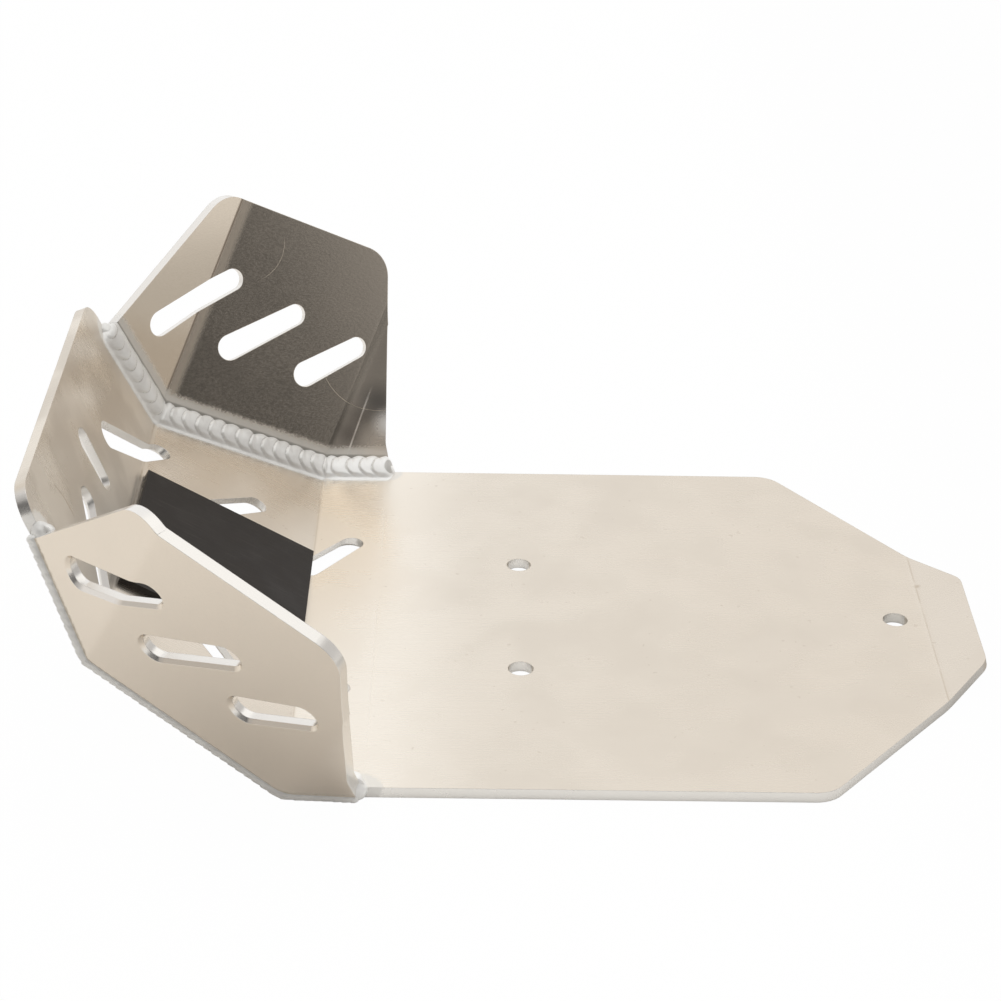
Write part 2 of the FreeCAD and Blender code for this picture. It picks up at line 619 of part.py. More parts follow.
def wing_vent(big_end, small_end, inward):
    """A block in the shape of a vent slot through the wing, square to a given inward direction."""
    along = small_end - big_end
    inward = unit(inward - unit(along) * inward.dot(unit(along)))
    wire = Part.Wire([edge.toShape() for edge in tapered_slot((0, 0), (along.Length, 0))])
    block = Part.Face(wire).extrude(vec(0, 0, 6 * THICKNESS))
    block.translate(vec(0, 0, -3 * THICKNESS))
    turn = FreeCAD.Rotation(unit(along), vec(0, 0, 0), inward, "XZY")
    block.Placement = FreeCAD.Placement(big_end, turn).multiply(block.Placement)
    return block


# Wing: a sheet folded twice towards the inside, cut to its outline and pierced by three vent slots
def folded_wing(flank):
    front, middle, rear = flank.front, flank.middle, flank.rear
    height = size("wing_height")
    rear_x = flank.rear_x

    sheet_front = folded_sheet(flank.ramp_head, flank.front_top, front, middle, size("front_fold_radius"))
    sheet_rear = folded_sheet(flank.ramp_foot, flank.rear_top, middle, rear, size("rear_fold_radius"))
    divide = middle.at(flank.foot_u / 2, 0)
    blank = keep_behind(sheet_front, divide, middle.u).fuse(keep_behind(sheet_rear, divide, middle.u * -1))

    # Each outline runs past its fold far enough to cover the outside of the bend
    front_lap = THICKNESS * math.tan(front.inward.getAngle(middle.inward) / 2) + OVERLAP
    rear_lap = THICKNESS * math.tan(middle.inward.getAngle(rear.inward) / 2) + OVERLAP

    axis = unit(flank.front_top - flank.ramp_head)
    top_along = middle.u * -1
    top_on_front = unit(axis * top_along.dot(axis)
                        + away_from(axis, front, middle) * -top_along.dot(away_from(axis, middle, front)))
    front_outline = [
        (flank.ramp_head - front.u * front_lap, 0),
        (flank.panel_edge, 0),
        (flank.front_top + top_on_front * (size("wing_front_run") - flank.set_back),
         size("wing_front_corner_radius")),
        (flank.front_top - top_on_front * front_lap, 0),
    ]
    rear_corner = middle.across_x(rear_x, height)
    fold = flank.rear_top - flank.ramp_foot
    fold_end = flank.ramp_foot + fold * ((rear_x - flank.ramp_foot.x) / fold.x)
    past_fold = unit(fold_end - rear_corner) * (2 * rear_lap)
    middle_outline = [
        (middle.at(-front_lap, 0), 0),
        (middle.at(flank.foot_u + rear_lap, 0), 0),
        (fold_end + past_fold, 0),
        (rear_corner, size("wing_rear_corner_radius")),
        (middle.at(size("front_fold_offset") - front_lap, height), 0),
    ]
    drop = -size("wing_foot_drop")
    foot_top = rear.across_x(rear_x, size("wing_foot_height"))
    foot_end = rear.across_x(rear_x + size("wing_foot_flare"), drop)
    over_fold = away_from(unit(fold), rear, middle) * -rear_lap
    rear_outline = [
        (flank.ramp_foot + over_fold, 0),
        (rear.at(-2 * drop, drop), 0),
        (foot_end, 0),
        (foot_top, size("wing_foot_height")),
        (fold_end, 0),
        (fold_end + over_fold, 0),
    ]
    # The rear facet is cut along the middle one's direction, so that the rear edge has no step at the fold
    outline = through_sheet(front_outline, front.inward)
    outline = outline.fuse([through_sheet(middle_outline, middle.inward),
                            through_sheet(rear_outline, middle.inward)])
    wing = blank.common(outline)

    blocks = [wing_vent(*ends) for ends in flank.vent_ends()]
    wing = wing.cut(blocks)
    flats = [(facet.corner, facet.inward) for facet in (front, middle)]
    outer_edges = [edge for edge in wing.Edges
                   if depth_in_sheet(middle_of(edge), flats) > 0.75 * THICKNESS
                   and min(block.distToShape(Part.Vertex(middle_of(edge)))[0] for block in blocks) < 0.001]
    return wing.makeChamfer(size("vent_chamfer"), outer_edges)


def solid_through(rings):
    """A closed solid with flat faces through rings of points, each ring like the one before it."""
    walls = []
    for ring, following in zip(rings, rings[1:]):
        for index, point in enumerate(ring):
            after = (index + 1) % len(ring)
            walls.append([point, ring[after], following[after], following[index]])
    outlines = walls + [rings[0], rings[-1]]
    faces = [Part.Face(Part.makePolygon(corners + corners[:1])) for corners in outlines]
    return Part.Solid(Part.Shell(faces))


def rippled(start, end, section, depth):
    """A bead of flat faces: its section, given about the run's line, sinks by a share at each valley."""
    own = unit(end - start)
    length = (end - start).Length
    count = max(1, round(length / size("ripple_pitch")))
    step = length / count
    stations = [(index * step, 1 - depth) for index in range(count + 1)]
    stations += [(at + step * RIPPLE_CROWN, 1) for at, _ in stations[:-1]]
    return solid_through([[start + own * at + point * share for point in section]
                          for at, share in sorted(stations)])


def ball(centre, radius):
    """A faceted ball, the blob that ends a weld."""
    level_count = BALL_SIDE_COUNT // 2
    rings = []
    for level in range(1, level_count):
        height = math.pi * level / level_count
        flat = radius * math.sin(height)
        rings.append([centre + vec(flat * math.cos(math.tau * turn / BALL_SIDE_COUNT),
                                   flat * math.sin(math.tau * turn / BALL_SIDE_COUNT),
                                   -radius * math.cos(height)) for turn in range(BALL_SIDE_COUNT)])
    return solid_through(rings)


def mitre_ends(solid, index, runs):
    """Trims one run of a bead where it meets its neighbours, on the plane between both directions."""
    start, end = runs[index][:2]
    own = unit(end - start)
    if index > 0:
        other = unit(runs[index - 1][1] - runs[index - 1][0])
        solid = keep_behind(solid, start, unit(own + other) * -1)
    if index < len(runs) - 1:
        other = unit(runs[index + 1][1] - runs[index + 1][0])
        solid = keep_behind(solid, end, unit(own + other))
    return solid


def inner_bead(flank):
    """The rippled fillet bead in the corner between the plate and the wing."""
    leg = size("inner_bead_leg")
    swell = size("inner_bead_swell")
    runs = flank.joints()
    beads = []
    outside = []
    for index, (start, end, plate_up, wing_in) in enumerate(runs):
        own = unit(end - start)
        on_plate = towards(unit(own.cross(plate_up)), wing_in) * leg
        on_wing = towards(unit(own.cross(wing_in)), plate_up) * leg
        bulge = unit(on_plate + on_wing)
        section = [vec(0, 0, 0)]
        for span in range(ARC_SPAN_COUNT + 1):
            share = span / ARC_SPAN_COUNT
            section.append(on_plate * (1 - share) + on_wing * share + bulge * (4 * swell * share * (1 - share)))
        height = (on_plate + on_wing).Length / 2 + swell
        before = own * (leg if index > 0 else 0)
        after = own * (leg if index < len(runs) - 1 else 0)
        bead = rippled(start - before, end + after, section, size("ripple_depth") / height)
        beads.append(mitre_ends(bead, index, runs))
        # Outside the corner the blobs leave the joint to the outer bead
        across = [start, start - on_plate * 2, start - on_wing * 2, start]
        outside.append(Part.Face(Part.makePolygon(across)).extrude(end - start))
    for point in (runs[0][0], runs[-1][1]):
        beads.append(ball(point, size("bead_end_radius")))
    return beads[0].fuse(beads[1:]).cut(outside)


def outer_bead(flank):
    """The bead that fills the open corner outside, between the plate's edge and the wing's lower edge."""
    radius = size("outer_bead_radius")
    runs = flank.joints()
    beads = []
    for index, (start, end, plate_up, wing_in) in enumerate(runs):
        own = unit(end - start)
        outward = unit(plate_up + wing_in) * -1
        across = unit(own.cross(outward))
        turns = [math.tau * step / ROUND_SIDE_COUNT for step in range(ROUND_SIDE_COUNT)]
        section = [outward * (radius * math.cos(turn)) + across * (radius * math.sin(turn)) for turn in turns]
        depth = (plate_up + wing_in).Length * THICKNESS / 2 - size("outer_bead_sink")
        before = own * (radius if index > 0 else 0)
        after = own * (radius if index < len(runs) - 1 else 0)
        bead = rippled(start + outward * depth - before, end + outward * depth + after, section,
                       size("ripple_depth") / radius)
        beads.append(mitre_ends(bead, index, runs))
    return beads[0].fuse(beads[1:])


def biggest_solid(shape):
    return max(shape.Solids, key=lambda solid: solid.Volume)


def add_piece(label, shape):
    """A welded piece as a sub-part of the document; its place is in its shape."""
    feature = doc.addObject("Part::Feature", label.title().replace("_", ""))
    feature.Shape = shape
    feature.Label = label
    feature.Placement = FreeCAD.Placement()
    return feature


def above_ground(shape):
    """The shape ground flush with the underside of the floor."""
    return keep_behind(shape, vec(0, 0, 0), vec(0, 0, -1))


plate = main_plate()
parts = [plate, rubber_pad()]

for name, side in (("left", 1), ("right", -1)):
    flank = Flank(side)
    wing = biggest_solid(above_ground(folded_wing(flank).cut(plate.Shape)))
    inside = biggest_solid(above_ground(inner_bead(flank).cut([plate.Shape, wing])))
    outside = biggest_solid(above_ground(outer_bead(flank).cut([plate.Shape, wing, inside])))
    parts.append(add_piece(f"{name}_wing", wing))
    parts.append(add_piece(f"{name}_inner_weld", inside))
    parts.append(add_piece(f"{name}_outer_weld", outside))

doc.recompute()
for item in doc.Objects:
    if "Invalid" in item.State or "Error" in item.State:
        raise RuntimeError(f"{item.Label} did not build: {item.State}")
os.makedirs("parts", exist_ok=True)
for part in parts:
    if part.Shape.isNull() or not part.Shape.isValid() or len(part.Shape.Solids) != 1:
        raise RuntimeError(f"{part.Label} is not one valid solid")
    part.Shape.exportStep(f"parts/{part.Label}.step")
    print(part.Label, round(part.Shape.Volume), "mm3", len(part.Shape.Faces), "faces")
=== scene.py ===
# %% [markdown]
# This lesson dresses a welded skid plate for an off-road motorcycle. The real one is laser-cut from
# thick aluminium sheet, folded on a press brake and joined by hand with a rippled weld. The solid
# model comes first, as a fixed frame: every finish and every new piece is fitted to it, never the
# other way round.

# %% Load the solid model and measure it
import math
import random

import bmesh
import bpy
from mathutils import Matrix, Quaternion, Vector, noise


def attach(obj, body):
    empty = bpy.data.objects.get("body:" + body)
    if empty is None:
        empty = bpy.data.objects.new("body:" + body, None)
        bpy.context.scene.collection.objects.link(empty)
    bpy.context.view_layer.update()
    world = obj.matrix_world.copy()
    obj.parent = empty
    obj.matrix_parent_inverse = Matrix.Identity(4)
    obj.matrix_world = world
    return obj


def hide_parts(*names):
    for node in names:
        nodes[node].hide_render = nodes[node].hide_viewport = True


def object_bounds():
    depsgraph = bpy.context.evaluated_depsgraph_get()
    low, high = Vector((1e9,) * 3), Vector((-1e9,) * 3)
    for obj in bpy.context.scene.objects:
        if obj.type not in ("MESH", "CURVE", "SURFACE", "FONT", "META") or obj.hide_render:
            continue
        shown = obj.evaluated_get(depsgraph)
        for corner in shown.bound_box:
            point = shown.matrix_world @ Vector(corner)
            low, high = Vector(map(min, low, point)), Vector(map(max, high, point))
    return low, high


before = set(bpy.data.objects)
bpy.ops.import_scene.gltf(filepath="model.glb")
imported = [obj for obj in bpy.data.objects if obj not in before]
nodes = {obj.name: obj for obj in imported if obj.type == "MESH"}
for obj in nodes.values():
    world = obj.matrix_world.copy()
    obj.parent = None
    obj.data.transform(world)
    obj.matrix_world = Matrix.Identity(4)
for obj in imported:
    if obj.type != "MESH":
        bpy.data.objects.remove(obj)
cad_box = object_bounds()
MM = 0.001
print("solid model from", [round(v / MM) for v in cad_box[0]],
      "to", [round(v / MM) for v in cad_box[1]], "mm")

# %% [markdown]
# Everything that follows a joint or a crease needs the same few places. They are worked out once,
# from the sizes a fabricator would write on the flat pattern: the lengths of the flats along the
# sheet, the angles they rise at and the widths at each crease.

# %% Creases and corners of the folded sheet
SHEET = 4.76 * MM
STRIP_CREASE = -63.3 * MM
STRIP_LENGTH, STRIP_RISE = 31.1 * MM, math.radians(1.0)
RAMP_LENGTH, RAMP_RISE = 87.8 * MM, math.radians(29.2)
TAPER_LENGTH, PANEL_RISE = 51.0 * MM, math.radians(67.9)
WING_REAR_EDGE = -65.6 * MM
WING_SET = 1.0 * MM
TAIL_CREASE = 180.3 * MM


def up_the_sheet(start, length, rise, half_width):
    """The end of a flat that leaves a crease towards the front, on the left edge of the plate."""
    return Vector((start.x - length * math.cos(rise), half_width, start.z + length * math.sin(rise)))


strip_foot = Vector((STRIP_CREASE, 134.0 * MM, SHEET))
ramp_foot = up_the_sheet(strip_foot, STRIP_LENGTH, STRIP_RISE, 132.75 * MM)
ramp_head = up_the_sheet(ramp_foot, RAMP_LENGTH, RAMP_RISE, 105.5 * MM)
panel_edge = up_the_sheet(ramp_head, TAPER_LENGTH, PANEL_RISE, 93.5 * MM)
print("ramp from x", round(ramp_foot.x / MM, 1), "to", round(ramp_head.x / MM, 1), "mm")

# %% [markdown]
# The camera stands low in front of the near side, as in a catalogue picture. A long lens keeps the
# far wing almost as large as the near one. The angles are turned into a matrix by hand, because a
# slight roll can't be given by a target alone.

# %% Camera
CAMERA_PLACE = Vector((-0.0214, -0.9561, 0.5807))
CAMERA_YAW, CAMERA_PITCH, CAMERA_ROLL = math.radians(0.713), math.radians(28.463), math.radians(1.101)
FOCAL_PIXELS = 2513.2
PICTURE_PIXELS = 1001
SENSOR_MM = 36.0

ahead = Vector((math.sin(CAMERA_YAW) * math.cos(CAMERA_PITCH),
                math.cos(CAMERA_YAW) * math.cos(CAMERA_PITCH), -math.sin(CAMERA_PITCH)))
level = Vector((math.cos(CAMERA_YAW), -math.sin(CAMERA_YAW), 0))
upward = level.cross(ahead)
right = level * math.cos(CAMERA_ROLL) + upward * math.sin(CAMERA_ROLL)
over = upward * math.cos(CAMERA_ROLL) - level * math.sin(CAMERA_ROLL)
lens = bpy.data.cameras.new("catalogue_lens")
lens.sensor_fit = "HORIZONTAL"
lens.sensor_width = SENSOR_MM
lens.lens = SENSOR_MM * FOCAL_PIXELS / PICTURE_PIXELS
lens.clip_start = 0.05
camera = bpy.data.objects.new("catalogue_camera", lens)
turn = Matrix((right, over, -ahead)).transposed().to_4x4()
camera.matrix_world = Matrix.Translation(CAMERA_PLACE) @ turn
bpy.context.scene.collection.objects.link(camera)
bpy.context.scene.camera = camera
bpy.context.scene.view_settings.view_transform = "Standard"
print("lens", round(lens.lens, 1), "mm")

# %% [markdown]
# Bare aluminium has hardly a colour of its own: it shows the room. So the room is built with care.
# White paper lies under and behind the plate, soft light comes from above, and the side behind the
# camera stays dim, which is what darkens the far wing's inner face. Camera rays see plain white.
# Reflections see that white paper too, but only where the real room is lit.

# %% Small helpers for shader trees
def add_node(tree, kind, **settings):
    """A node with its settings; a setting whose name starts with in_ fills the input of that name."""
    node = tree.nodes.new(kind)
    for name, value in settings.items():
        if name.startswith("in_"):
            node.inputs[name[3:].replace("_", " ")].default_value = value
        else:
            setattr(node, name, value)
    return node


def wire(tree, *pairs):
    for start, end in pairs:
        tree.links.new(start, end)


def fill(tree, node, values):
    """Fills a node's inputs in order; a value is a number, a vector or a socket."""
    for socket, value in zip(node.inputs, values):
        if isinstance(value, (int, float, Vector)):
            socket.default_value = value
        else:
            tree.links.new(value, socket)
    return node


def mathematics(tree, operation, *values, clamp=False):
    node = add_node(tree, "ShaderNodeMath", operation=operation, use_clamp=clamp)
    return fill(tree, node, values).outputs[0]


def vectors(tree, operation, *values):
    """One Vector Math node, and the output that its operation fills."""
    node = fill(tree, add_node(tree, "ShaderNodeVectorMath", operation=operation), values)
    return node.outputs["Value" if operation in ("DISTANCE", "DOT_PRODUCT", "LENGTH") else "Vector"]


def times(tree, first, second):
    return mathematics(tree, "MULTIPLY", first, second)


def object_place(tree):
    return add_node(tree, "ShaderNodeTexCoord").outputs["Object"]


def split(tree, vector):
    """The parts of a vector, by the names X, Y and Z."""
    node = add_node(tree, "ShaderNodeSeparateXYZ")
    tree.links.new(vector, node.inputs[0])
    return node.outputs


def between(tree, value, low, high, to_low=0.0, to_high=1.0, smooth=True):
    """A value carried from one range to another and held inside it."""
    node = add_node(tree, "ShaderNodeMapRange", interpolation_type="SMOOTHSTEP" if smooth else "LINEAR")
    tree.links.new(value, node.inputs["Value"])
    for name, number in (("From Min", low), ("From Max", high), ("To Min", to_low), ("To Max", to_high)):
        if isinstance(number, (int, float)):
            node.inputs[name].default_value = number
        else:
            tree.links.new(number, node.inputs[name])
    return node.outputs["Result"]


def blend_colours(tree, share, first, second):
    """One colour laid over another; a colour is a tuple or a socket."""
    node = add_node(tree, "ShaderNodeMix", data_type="RGBA")
    colours = [socket for socket in node.inputs if socket.type == "RGBA"]
    for socket, value in [(node.inputs["Factor"], share), (colours[0], first), (colours[1], second)]:
        if isinstance(value, (int, float)):
            socket.default_value = value
        elif isinstance(value, tuple):
            socket.default_value = (*value, 1.0)
        else:
            tree.links.new(value, socket)
    return next(socket for socket in node.outputs if socket.type == "RGBA")


# %% The room around the plate
# Brightness of the walls, by how far a direction points away from the camera's side, -1 to 1.
ROOM_TONES = [(-0.79, 0.20), (-0.67, 0.075), (-0.605, 0.095), (-0.578, 0.23), (-0.54, 0.44),
              (-0.40, 0.49), (-0.136, 0.55), (0.137, 0.80), (0.45, 0.92)]
ROOM_WARMTH = (1.0, 0.975, 0.95)
CEILING = (1.14, 1.13, 1.11)
CEILING_FROM, CEILING_FULL = 0.68, 0.92
# The white backdrop is mirrored between these directions: away from the camera, then to the front.
BACKDROP_FROM, BACKDROP_FULL = 0.35, 0.75
BACKDROP_FRONT, BACKDROP_END = -0.05, 0.16
world = bpy.data.worlds.new("studio")
bpy.context.scene.world = world
world.use_nodes = True
tree = world.node_tree
tree.nodes.clear()
direction = split(tree, add_node(tree, "ShaderNodeTexCoord").outputs["Generated"])
walls = add_node(tree, "ShaderNodeValToRGB")
wire(tree, (between(tree, direction["Y"], -1.0, 1.0, smooth=False), walls.inputs["Fac"]))
for _ in ROOM_TONES[2:]:
    walls.color_ramp.elements.new(0.5)
for stop, (sideways, tone) in zip(walls.color_ramp.elements, ROOM_TONES):
    stop.position = (sideways + 1) / 2
    stop.color = (*(tone * warmth for warmth in ROOM_WARMTH), 1)
overhead = between(tree, direction["Z"], CEILING_FROM, CEILING_FULL)
room = add_node(tree, "ShaderNodeBackground")
wire(tree, (blend_colours(tree, overhead, walls.outputs["Color"], CEILING), room.inputs["Color"]))
white = add_node(tree, "ShaderNodeBackground", in_Strength=1.0)
white.inputs["Color"].default_value = (1, 1, 1, 1)
ray = add_node(tree, "ShaderNodeLightPath").outputs
backdrop = between(tree, direction["Y"], BACKDROP_FROM, BACKDROP_FULL)
frontward = between(tree, direction["X"], BACKDROP_FRONT, BACKDROP_END, 1.0, 0.0)
mirrored_white = times(tree, times(tree, backdrop, frontward), ray["Is Glossy Ray"])
straight = mathematics(tree, "ADD", ray["Is Camera Ray"], ray["Is Transmission Ray"])
white_share = mathematics(tree, "ADD", straight, mirrored_white, clamp=True)
by_ray = add_node(tree, "ShaderNodeMixShader")
wire(tree, (white_share, by_ray.inputs["Fac"]), (room.outputs[0], by_ray.inputs[1]),
     (white.outputs[0], by_ray.inputs[2]),
     (by_ray.outputs[0], add_node(tree, "ShaderNodeOutputWorld").inputs["Surface"]))
print("the room is painted with", len(tree.nodes), "nodes")

# %% [markdown]
# The plate lies on white paper. The camera sees that paper plain white. Reflections see the sheet
# as the room lights it, with a little of the plain white, and a darker patch past the tail.

# %% Paper floor
PAPER_SIZE = 6.0
PAPER_GAP = 0.2 * MM
PAPER_WHITE = 0.94
PAPER_COLOUR = (PAPER_WHITE, PAPER_WHITE * 0.985, PAPER_WHITE * 0.96)
SHADED_PAPER = (0.50, 0.48, 0.45)
# Where the darker patch begins, is full, leaves and has gone, in metres along the plate.
SHADE_FROM, SHADE_FULL, SHADE_LEAVES, SHADE_GONE = 0.10, 0.24, 0.34, 0.52
CAMERA_SEES_WHITE = 0.985
REFLECTION_SEES_WHITE = 0.12
REFLECTION_PAST_TAIL = 0.08
floor_mesh = bpy.data.meshes.new("paper_floor")
form = bmesh.new()
bmesh.ops.create_grid(form, x_segments=1, y_segments=1, size=PAPER_SIZE)
form.to_mesh(floor_mesh)
form.free()
floor = bpy.data.objects.new("paper_floor", floor_mesh)
bpy.context.scene.collection.objects.link(floor)
floor.location.z = cad_box[0].z - PAPER_GAP

paper_finish = bpy.data.materials.new("white_paper")
paper_finish.use_nodes = True
tree = paper_finish.node_tree
tree.nodes.clear()
matt = add_node(tree, "ShaderNodeBsdfDiffuse")
spot = split(tree, object_place(tree))
past_tail = times(tree, between(tree, spot["X"], SHADE_FROM, SHADE_FULL),
                  between(tree, spot["X"], SHADE_LEAVES, SHADE_GONE, 1.0, 0.2))
wire(tree, (blend_colours(tree, past_tail, PAPER_COLOUR, SHADED_PAPER), matt.inputs["Color"]))
plain = add_node(tree, "ShaderNodeEmission", in_Strength=1.0)
ray = add_node(tree, "ShaderNodeLightPath").outputs
straight = mathematics(tree, "ADD", ray["Is Camera Ray"], ray["Is Transmission Ray"])
straight = times(tree, straight, CAMERA_SEES_WHITE)
lit_end = between(tree, spot["X"], 0.0, 0.3, REFLECTION_SEES_WHITE, REFLECTION_PAST_TAIL)
glossy = times(tree, ray["Is Glossy Ray"], lit_end)
by_ray = add_node(tree, "ShaderNodeMixShader")
wire(tree, (mathematics(tree, "ADD", straight, glossy, clamp=True), by_ray.inputs["Fac"]),
     (matt.outputs[0], by_ray.inputs[1]), (plain.outputs[0], by_ray.inputs[2]),
     (by_ray.outputs[0], add_node(tree, "ShaderNodeOutputMaterial").inputs["Surface"]))
floor_mesh.materials.append(paper_finish)
print("paper floor at z", round(floor.location.z / MM, 1), "mm")

# %% [markdown]
# One large soft box hangs over the plate and lights the paper, the rubber and the frosted welds.
# The metal doesn't mirror the box itself: the bright ceiling of the painted room does that work,
# with a softer edge.

# %% Soft light from above
lamp = bpy.data.lights.new("top_box", "AREA")
lamp.shape = "SQUARE"
lamp.size = 1.3
lamp.energy = 5.0
lamp.color = (0.95, 0.98, 1.0)
top_box = bpy.data.objects.new("top_box", lamp)
top_box.location = (-0.08, 0.16, 1.5)
top_box.rotation_euler = (-top_box.location).to_track_quat("-Z", "Y").to_euler()
top_box.visible_camera = False
top_box.visible_glossy = False
bpy.context.scene.collection.objects.link(top_box)
print("soft box of", lamp.energy, "W")

# %% [markdown]
# Mill-finished sheet carries fine lines along the rolling direction, with cloudy patches where it
# was handled. Noise that is stretched far along the rolling direction gives the lines, and a slow
# noise the clouds. Both feed colour and roughness, and the lines a very shallow bump as well.

# %% Rolled grain as a node group
SPECK_SCALE = 330.0
SPECK_LEVELS = (0.74, 0.80)


def new_group(name, inputs, outputs):
    """An empty shader group with its named sockets."""
    group = bpy.data.node_groups.new(name, "ShaderNodeTree")
    for label, kind, value in inputs:
        socket = group.interface.new_socket(label, in_out="INPUT", socket_type=kind)
        socket.default_value = value
    for label, kind in outputs:
        group.interface.new_socket(label, in_out="OUTPUT", socket_type=kind)
    entry = group.nodes.new("NodeGroupInput")
    leave = group.nodes.new("NodeGroupOutput")
    return group, entry.outputs, leave.inputs


grain_group, given, result = new_group(
    "Rolled grain",
    [("Stretch", "NodeSocketVector", (1, 1, 1)), ("Cloud Size", "NodeSocketFloat", 26.0)],
    [("Lines", "NodeSocketFloat"), ("Clouds", "NodeSocketFloat"), ("Specks", "NodeSocketFloat")],
)
place = object_place(grain_group)
drawn = vectors(grain_group, "MULTIPLY", place, given["Stretch"])
lines = add_node(grain_group, "ShaderNodeTexNoise", in_Scale=1.0, in_Detail=3.0, in_Roughness=0.6)
clouds = add_node(grain_group, "ShaderNodeTexNoise", in_Detail=3.0, in_Roughness=0.5)
specks = add_node(grain_group, "ShaderNodeTexNoise", in_Scale=SPECK_SCALE, in_Detail=1.0)
wire(grain_group, (drawn, lines.inputs["Vector"]), (place, clouds.inputs["Vector"]),
     (given["Cloud Size"], clouds.inputs["Scale"]), (place, specks.inputs["Vector"]),
     (lines.outputs["Fac"], result["Lines"]), (clouds.outputs["Fac"], result["Clouds"]),
     (between(grain_group, specks.outputs["Fac"], *SPECK_LEVELS), result["Specks"]))
print("rolled grain:", len(grain_group.nodes), "nodes")

# %% [markdown]
# The laser and the deburring wheel leave the cut edges whiter and duller than the rolled faces. A
# face is a cut edge where its normal lies far from every flat's. The left wing's normals serve the
# right wing too, once the sideways part is turned round there.

# %% Cut edges as a node group
EDGE_LIKENESS = (0.72, 0.88)
edge_group, given, result = new_group(
    "Cut edge",
    [(f"Flat {number}", "NodeSocketVector", (0, 0, 1)) for number in (1, 2, 3)],
    [("Edge", "NodeSocketFloat"), ("Inside", "NodeSocketFloat")],
)
facing = split(edge_group, add_node(edge_group, "ShaderNodeTexCoord").outputs["Normal"])
side_sign = mathematics(edge_group, "SIGN", split(edge_group, object_place(edge_group))["Y"])
turned = add_node(edge_group, "ShaderNodeCombineXYZ")
outward = times(edge_group, facing["Y"], side_sign)
wire(edge_group, (facing["X"], turned.inputs["X"]), (facing["Z"], turned.inputs["Z"]),
     (outward, turned.inputs["Y"]),
     (between(edge_group, outward, -0.1, 0.1, 1.0, 0.0), result["Inside"]))
nearest = None
for number in (1, 2, 3):
    likeness = vectors(edge_group, "DOT_PRODUCT", turned.outputs[0], given[f"Flat {number}"])
    amount = mathematics(edge_group, "ABSOLUTE", likeness)
    nearest = amount if nearest is None else mathematics(edge_group, "MAXIMUM", nearest, amount)
wire(edge_group, (between(edge_group, nearest, *EDGE_LIKENESS, 1.0, 0.0), result["Edge"]))
print("cut edge:", len(edge_group.nodes), "nodes")

# %% [markdown]
# Welding and the cleaning after it leave a matt grey band beside the bead. It needs the distance
# to the seam, which runs along three straight stretches. A group works out that distance in
# millimetres, plain and with a ragged edge, and serves the plate and both wings.

# %% Distance to the seam as a node group
RAG_SCALE = 800.0
RAG_REACH = 0.5
seam_rear_end = Vector((WING_REAR_EDGE, strip_foot.y, strip_foot.z))
seam_group, _, result = new_group(
    "Seam distance", [], [("Distance", "NodeSocketFloat"), ("Ragged Distance", "NodeSocketFloat")])
place = object_place(seam_group)
parts = split(seam_group, place)
left_place = add_node(seam_group, "ShaderNodeCombineXYZ")
wire(seam_group, (parts["X"], left_place.inputs["X"]), (parts["Z"], left_place.inputs["Z"]),
     (mathematics(seam_group, "ABSOLUTE", parts["Y"]), left_place.inputs["Y"]))
shortest = None
for start, end in ((panel_edge, ramp_head), (ramp_head, ramp_foot), (ramp_foot, seam_rear_end)):
    along = end - start
    from_start = vectors(seam_group, "SUBTRACT", left_place.outputs[0], start)
    part_way = vectors(seam_group, "DOT_PRODUCT", from_start, along / along.length_squared)
    held = mathematics(seam_group, "ADD", part_way, 0.0, clamp=True)
    amount = vectors(seam_group, "DISTANCE", from_start, vectors(seam_group, "MULTIPLY", along, held))
    shortest = amount if shortest is None else mathematics(seam_group, "MINIMUM", shortest, amount)
distance = times(seam_group, shortest, 1 / MM)
rag = add_node(seam_group, "ShaderNodeTexNoise", in_Scale=RAG_SCALE, in_Detail=3.0, in_Roughness=0.5)
astray = between(seam_group, rag.outputs["Fac"], 0.3, 0.7, -RAG_REACH, RAG_REACH)
wire(seam_group, (place, rag.inputs["Vector"]), (distance, result["Distance"]),
     (mathematics(seam_group, "ADD", distance, astray), result["Ragged Distance"]))
print("seam distance:", len(seam_group.nodes), "nodes")

# %% [markdown]
# A scratch from handling is a thin arc. It is drawn as the part of a sphere's shell that the sheet
# cuts, kept to the neighbourhood of one point, so that a few numbers place each scratch. With no
# radius the same group gives a soft round spot.

# %% Scratches and spots as a node group
scratch_group, given, result = new_group(
    "Scratch arc",
    [("Centre", "NodeSocketVector", (0, 0, 0)), ("Radius", "NodeSocketFloat", 0.03),
     ("Middle", "NodeSocketVector", (0, 0, 0)), ("Half Length", "NodeSocketFloat", 0.02),
     ("Width", "NodeSocketFloat", 0.0003)],
    [("Scratch", "NodeSocketFloat")],
)
place = object_place(scratch_group)
reach = vectors(scratch_group, "DISTANCE", place, given["Centre"])
stray = vectors(scratch_group, "DISTANCE", place, given["Middle"])
off_arc = mathematics(scratch_group, "SUBTRACT", reach, given["Radius"])
off_arc = mathematics(scratch_group, "ABSOLUTE", off_arc)
on_arc = between(scratch_group, off_arc, 0.0, given["Width"], 1.0, 0.0)
past = mathematics(scratch_group, "DIVIDE", stray, given["Half Length"])
kept = between(scratch_group, past, 0.6, 1.0, 1.0, 0.0)
wire(scratch_group, (times(scratch_group, on_arc, kept), result["Scratch"]))
print("scratch arc:", len(scratch_group.nodes), "nodes")


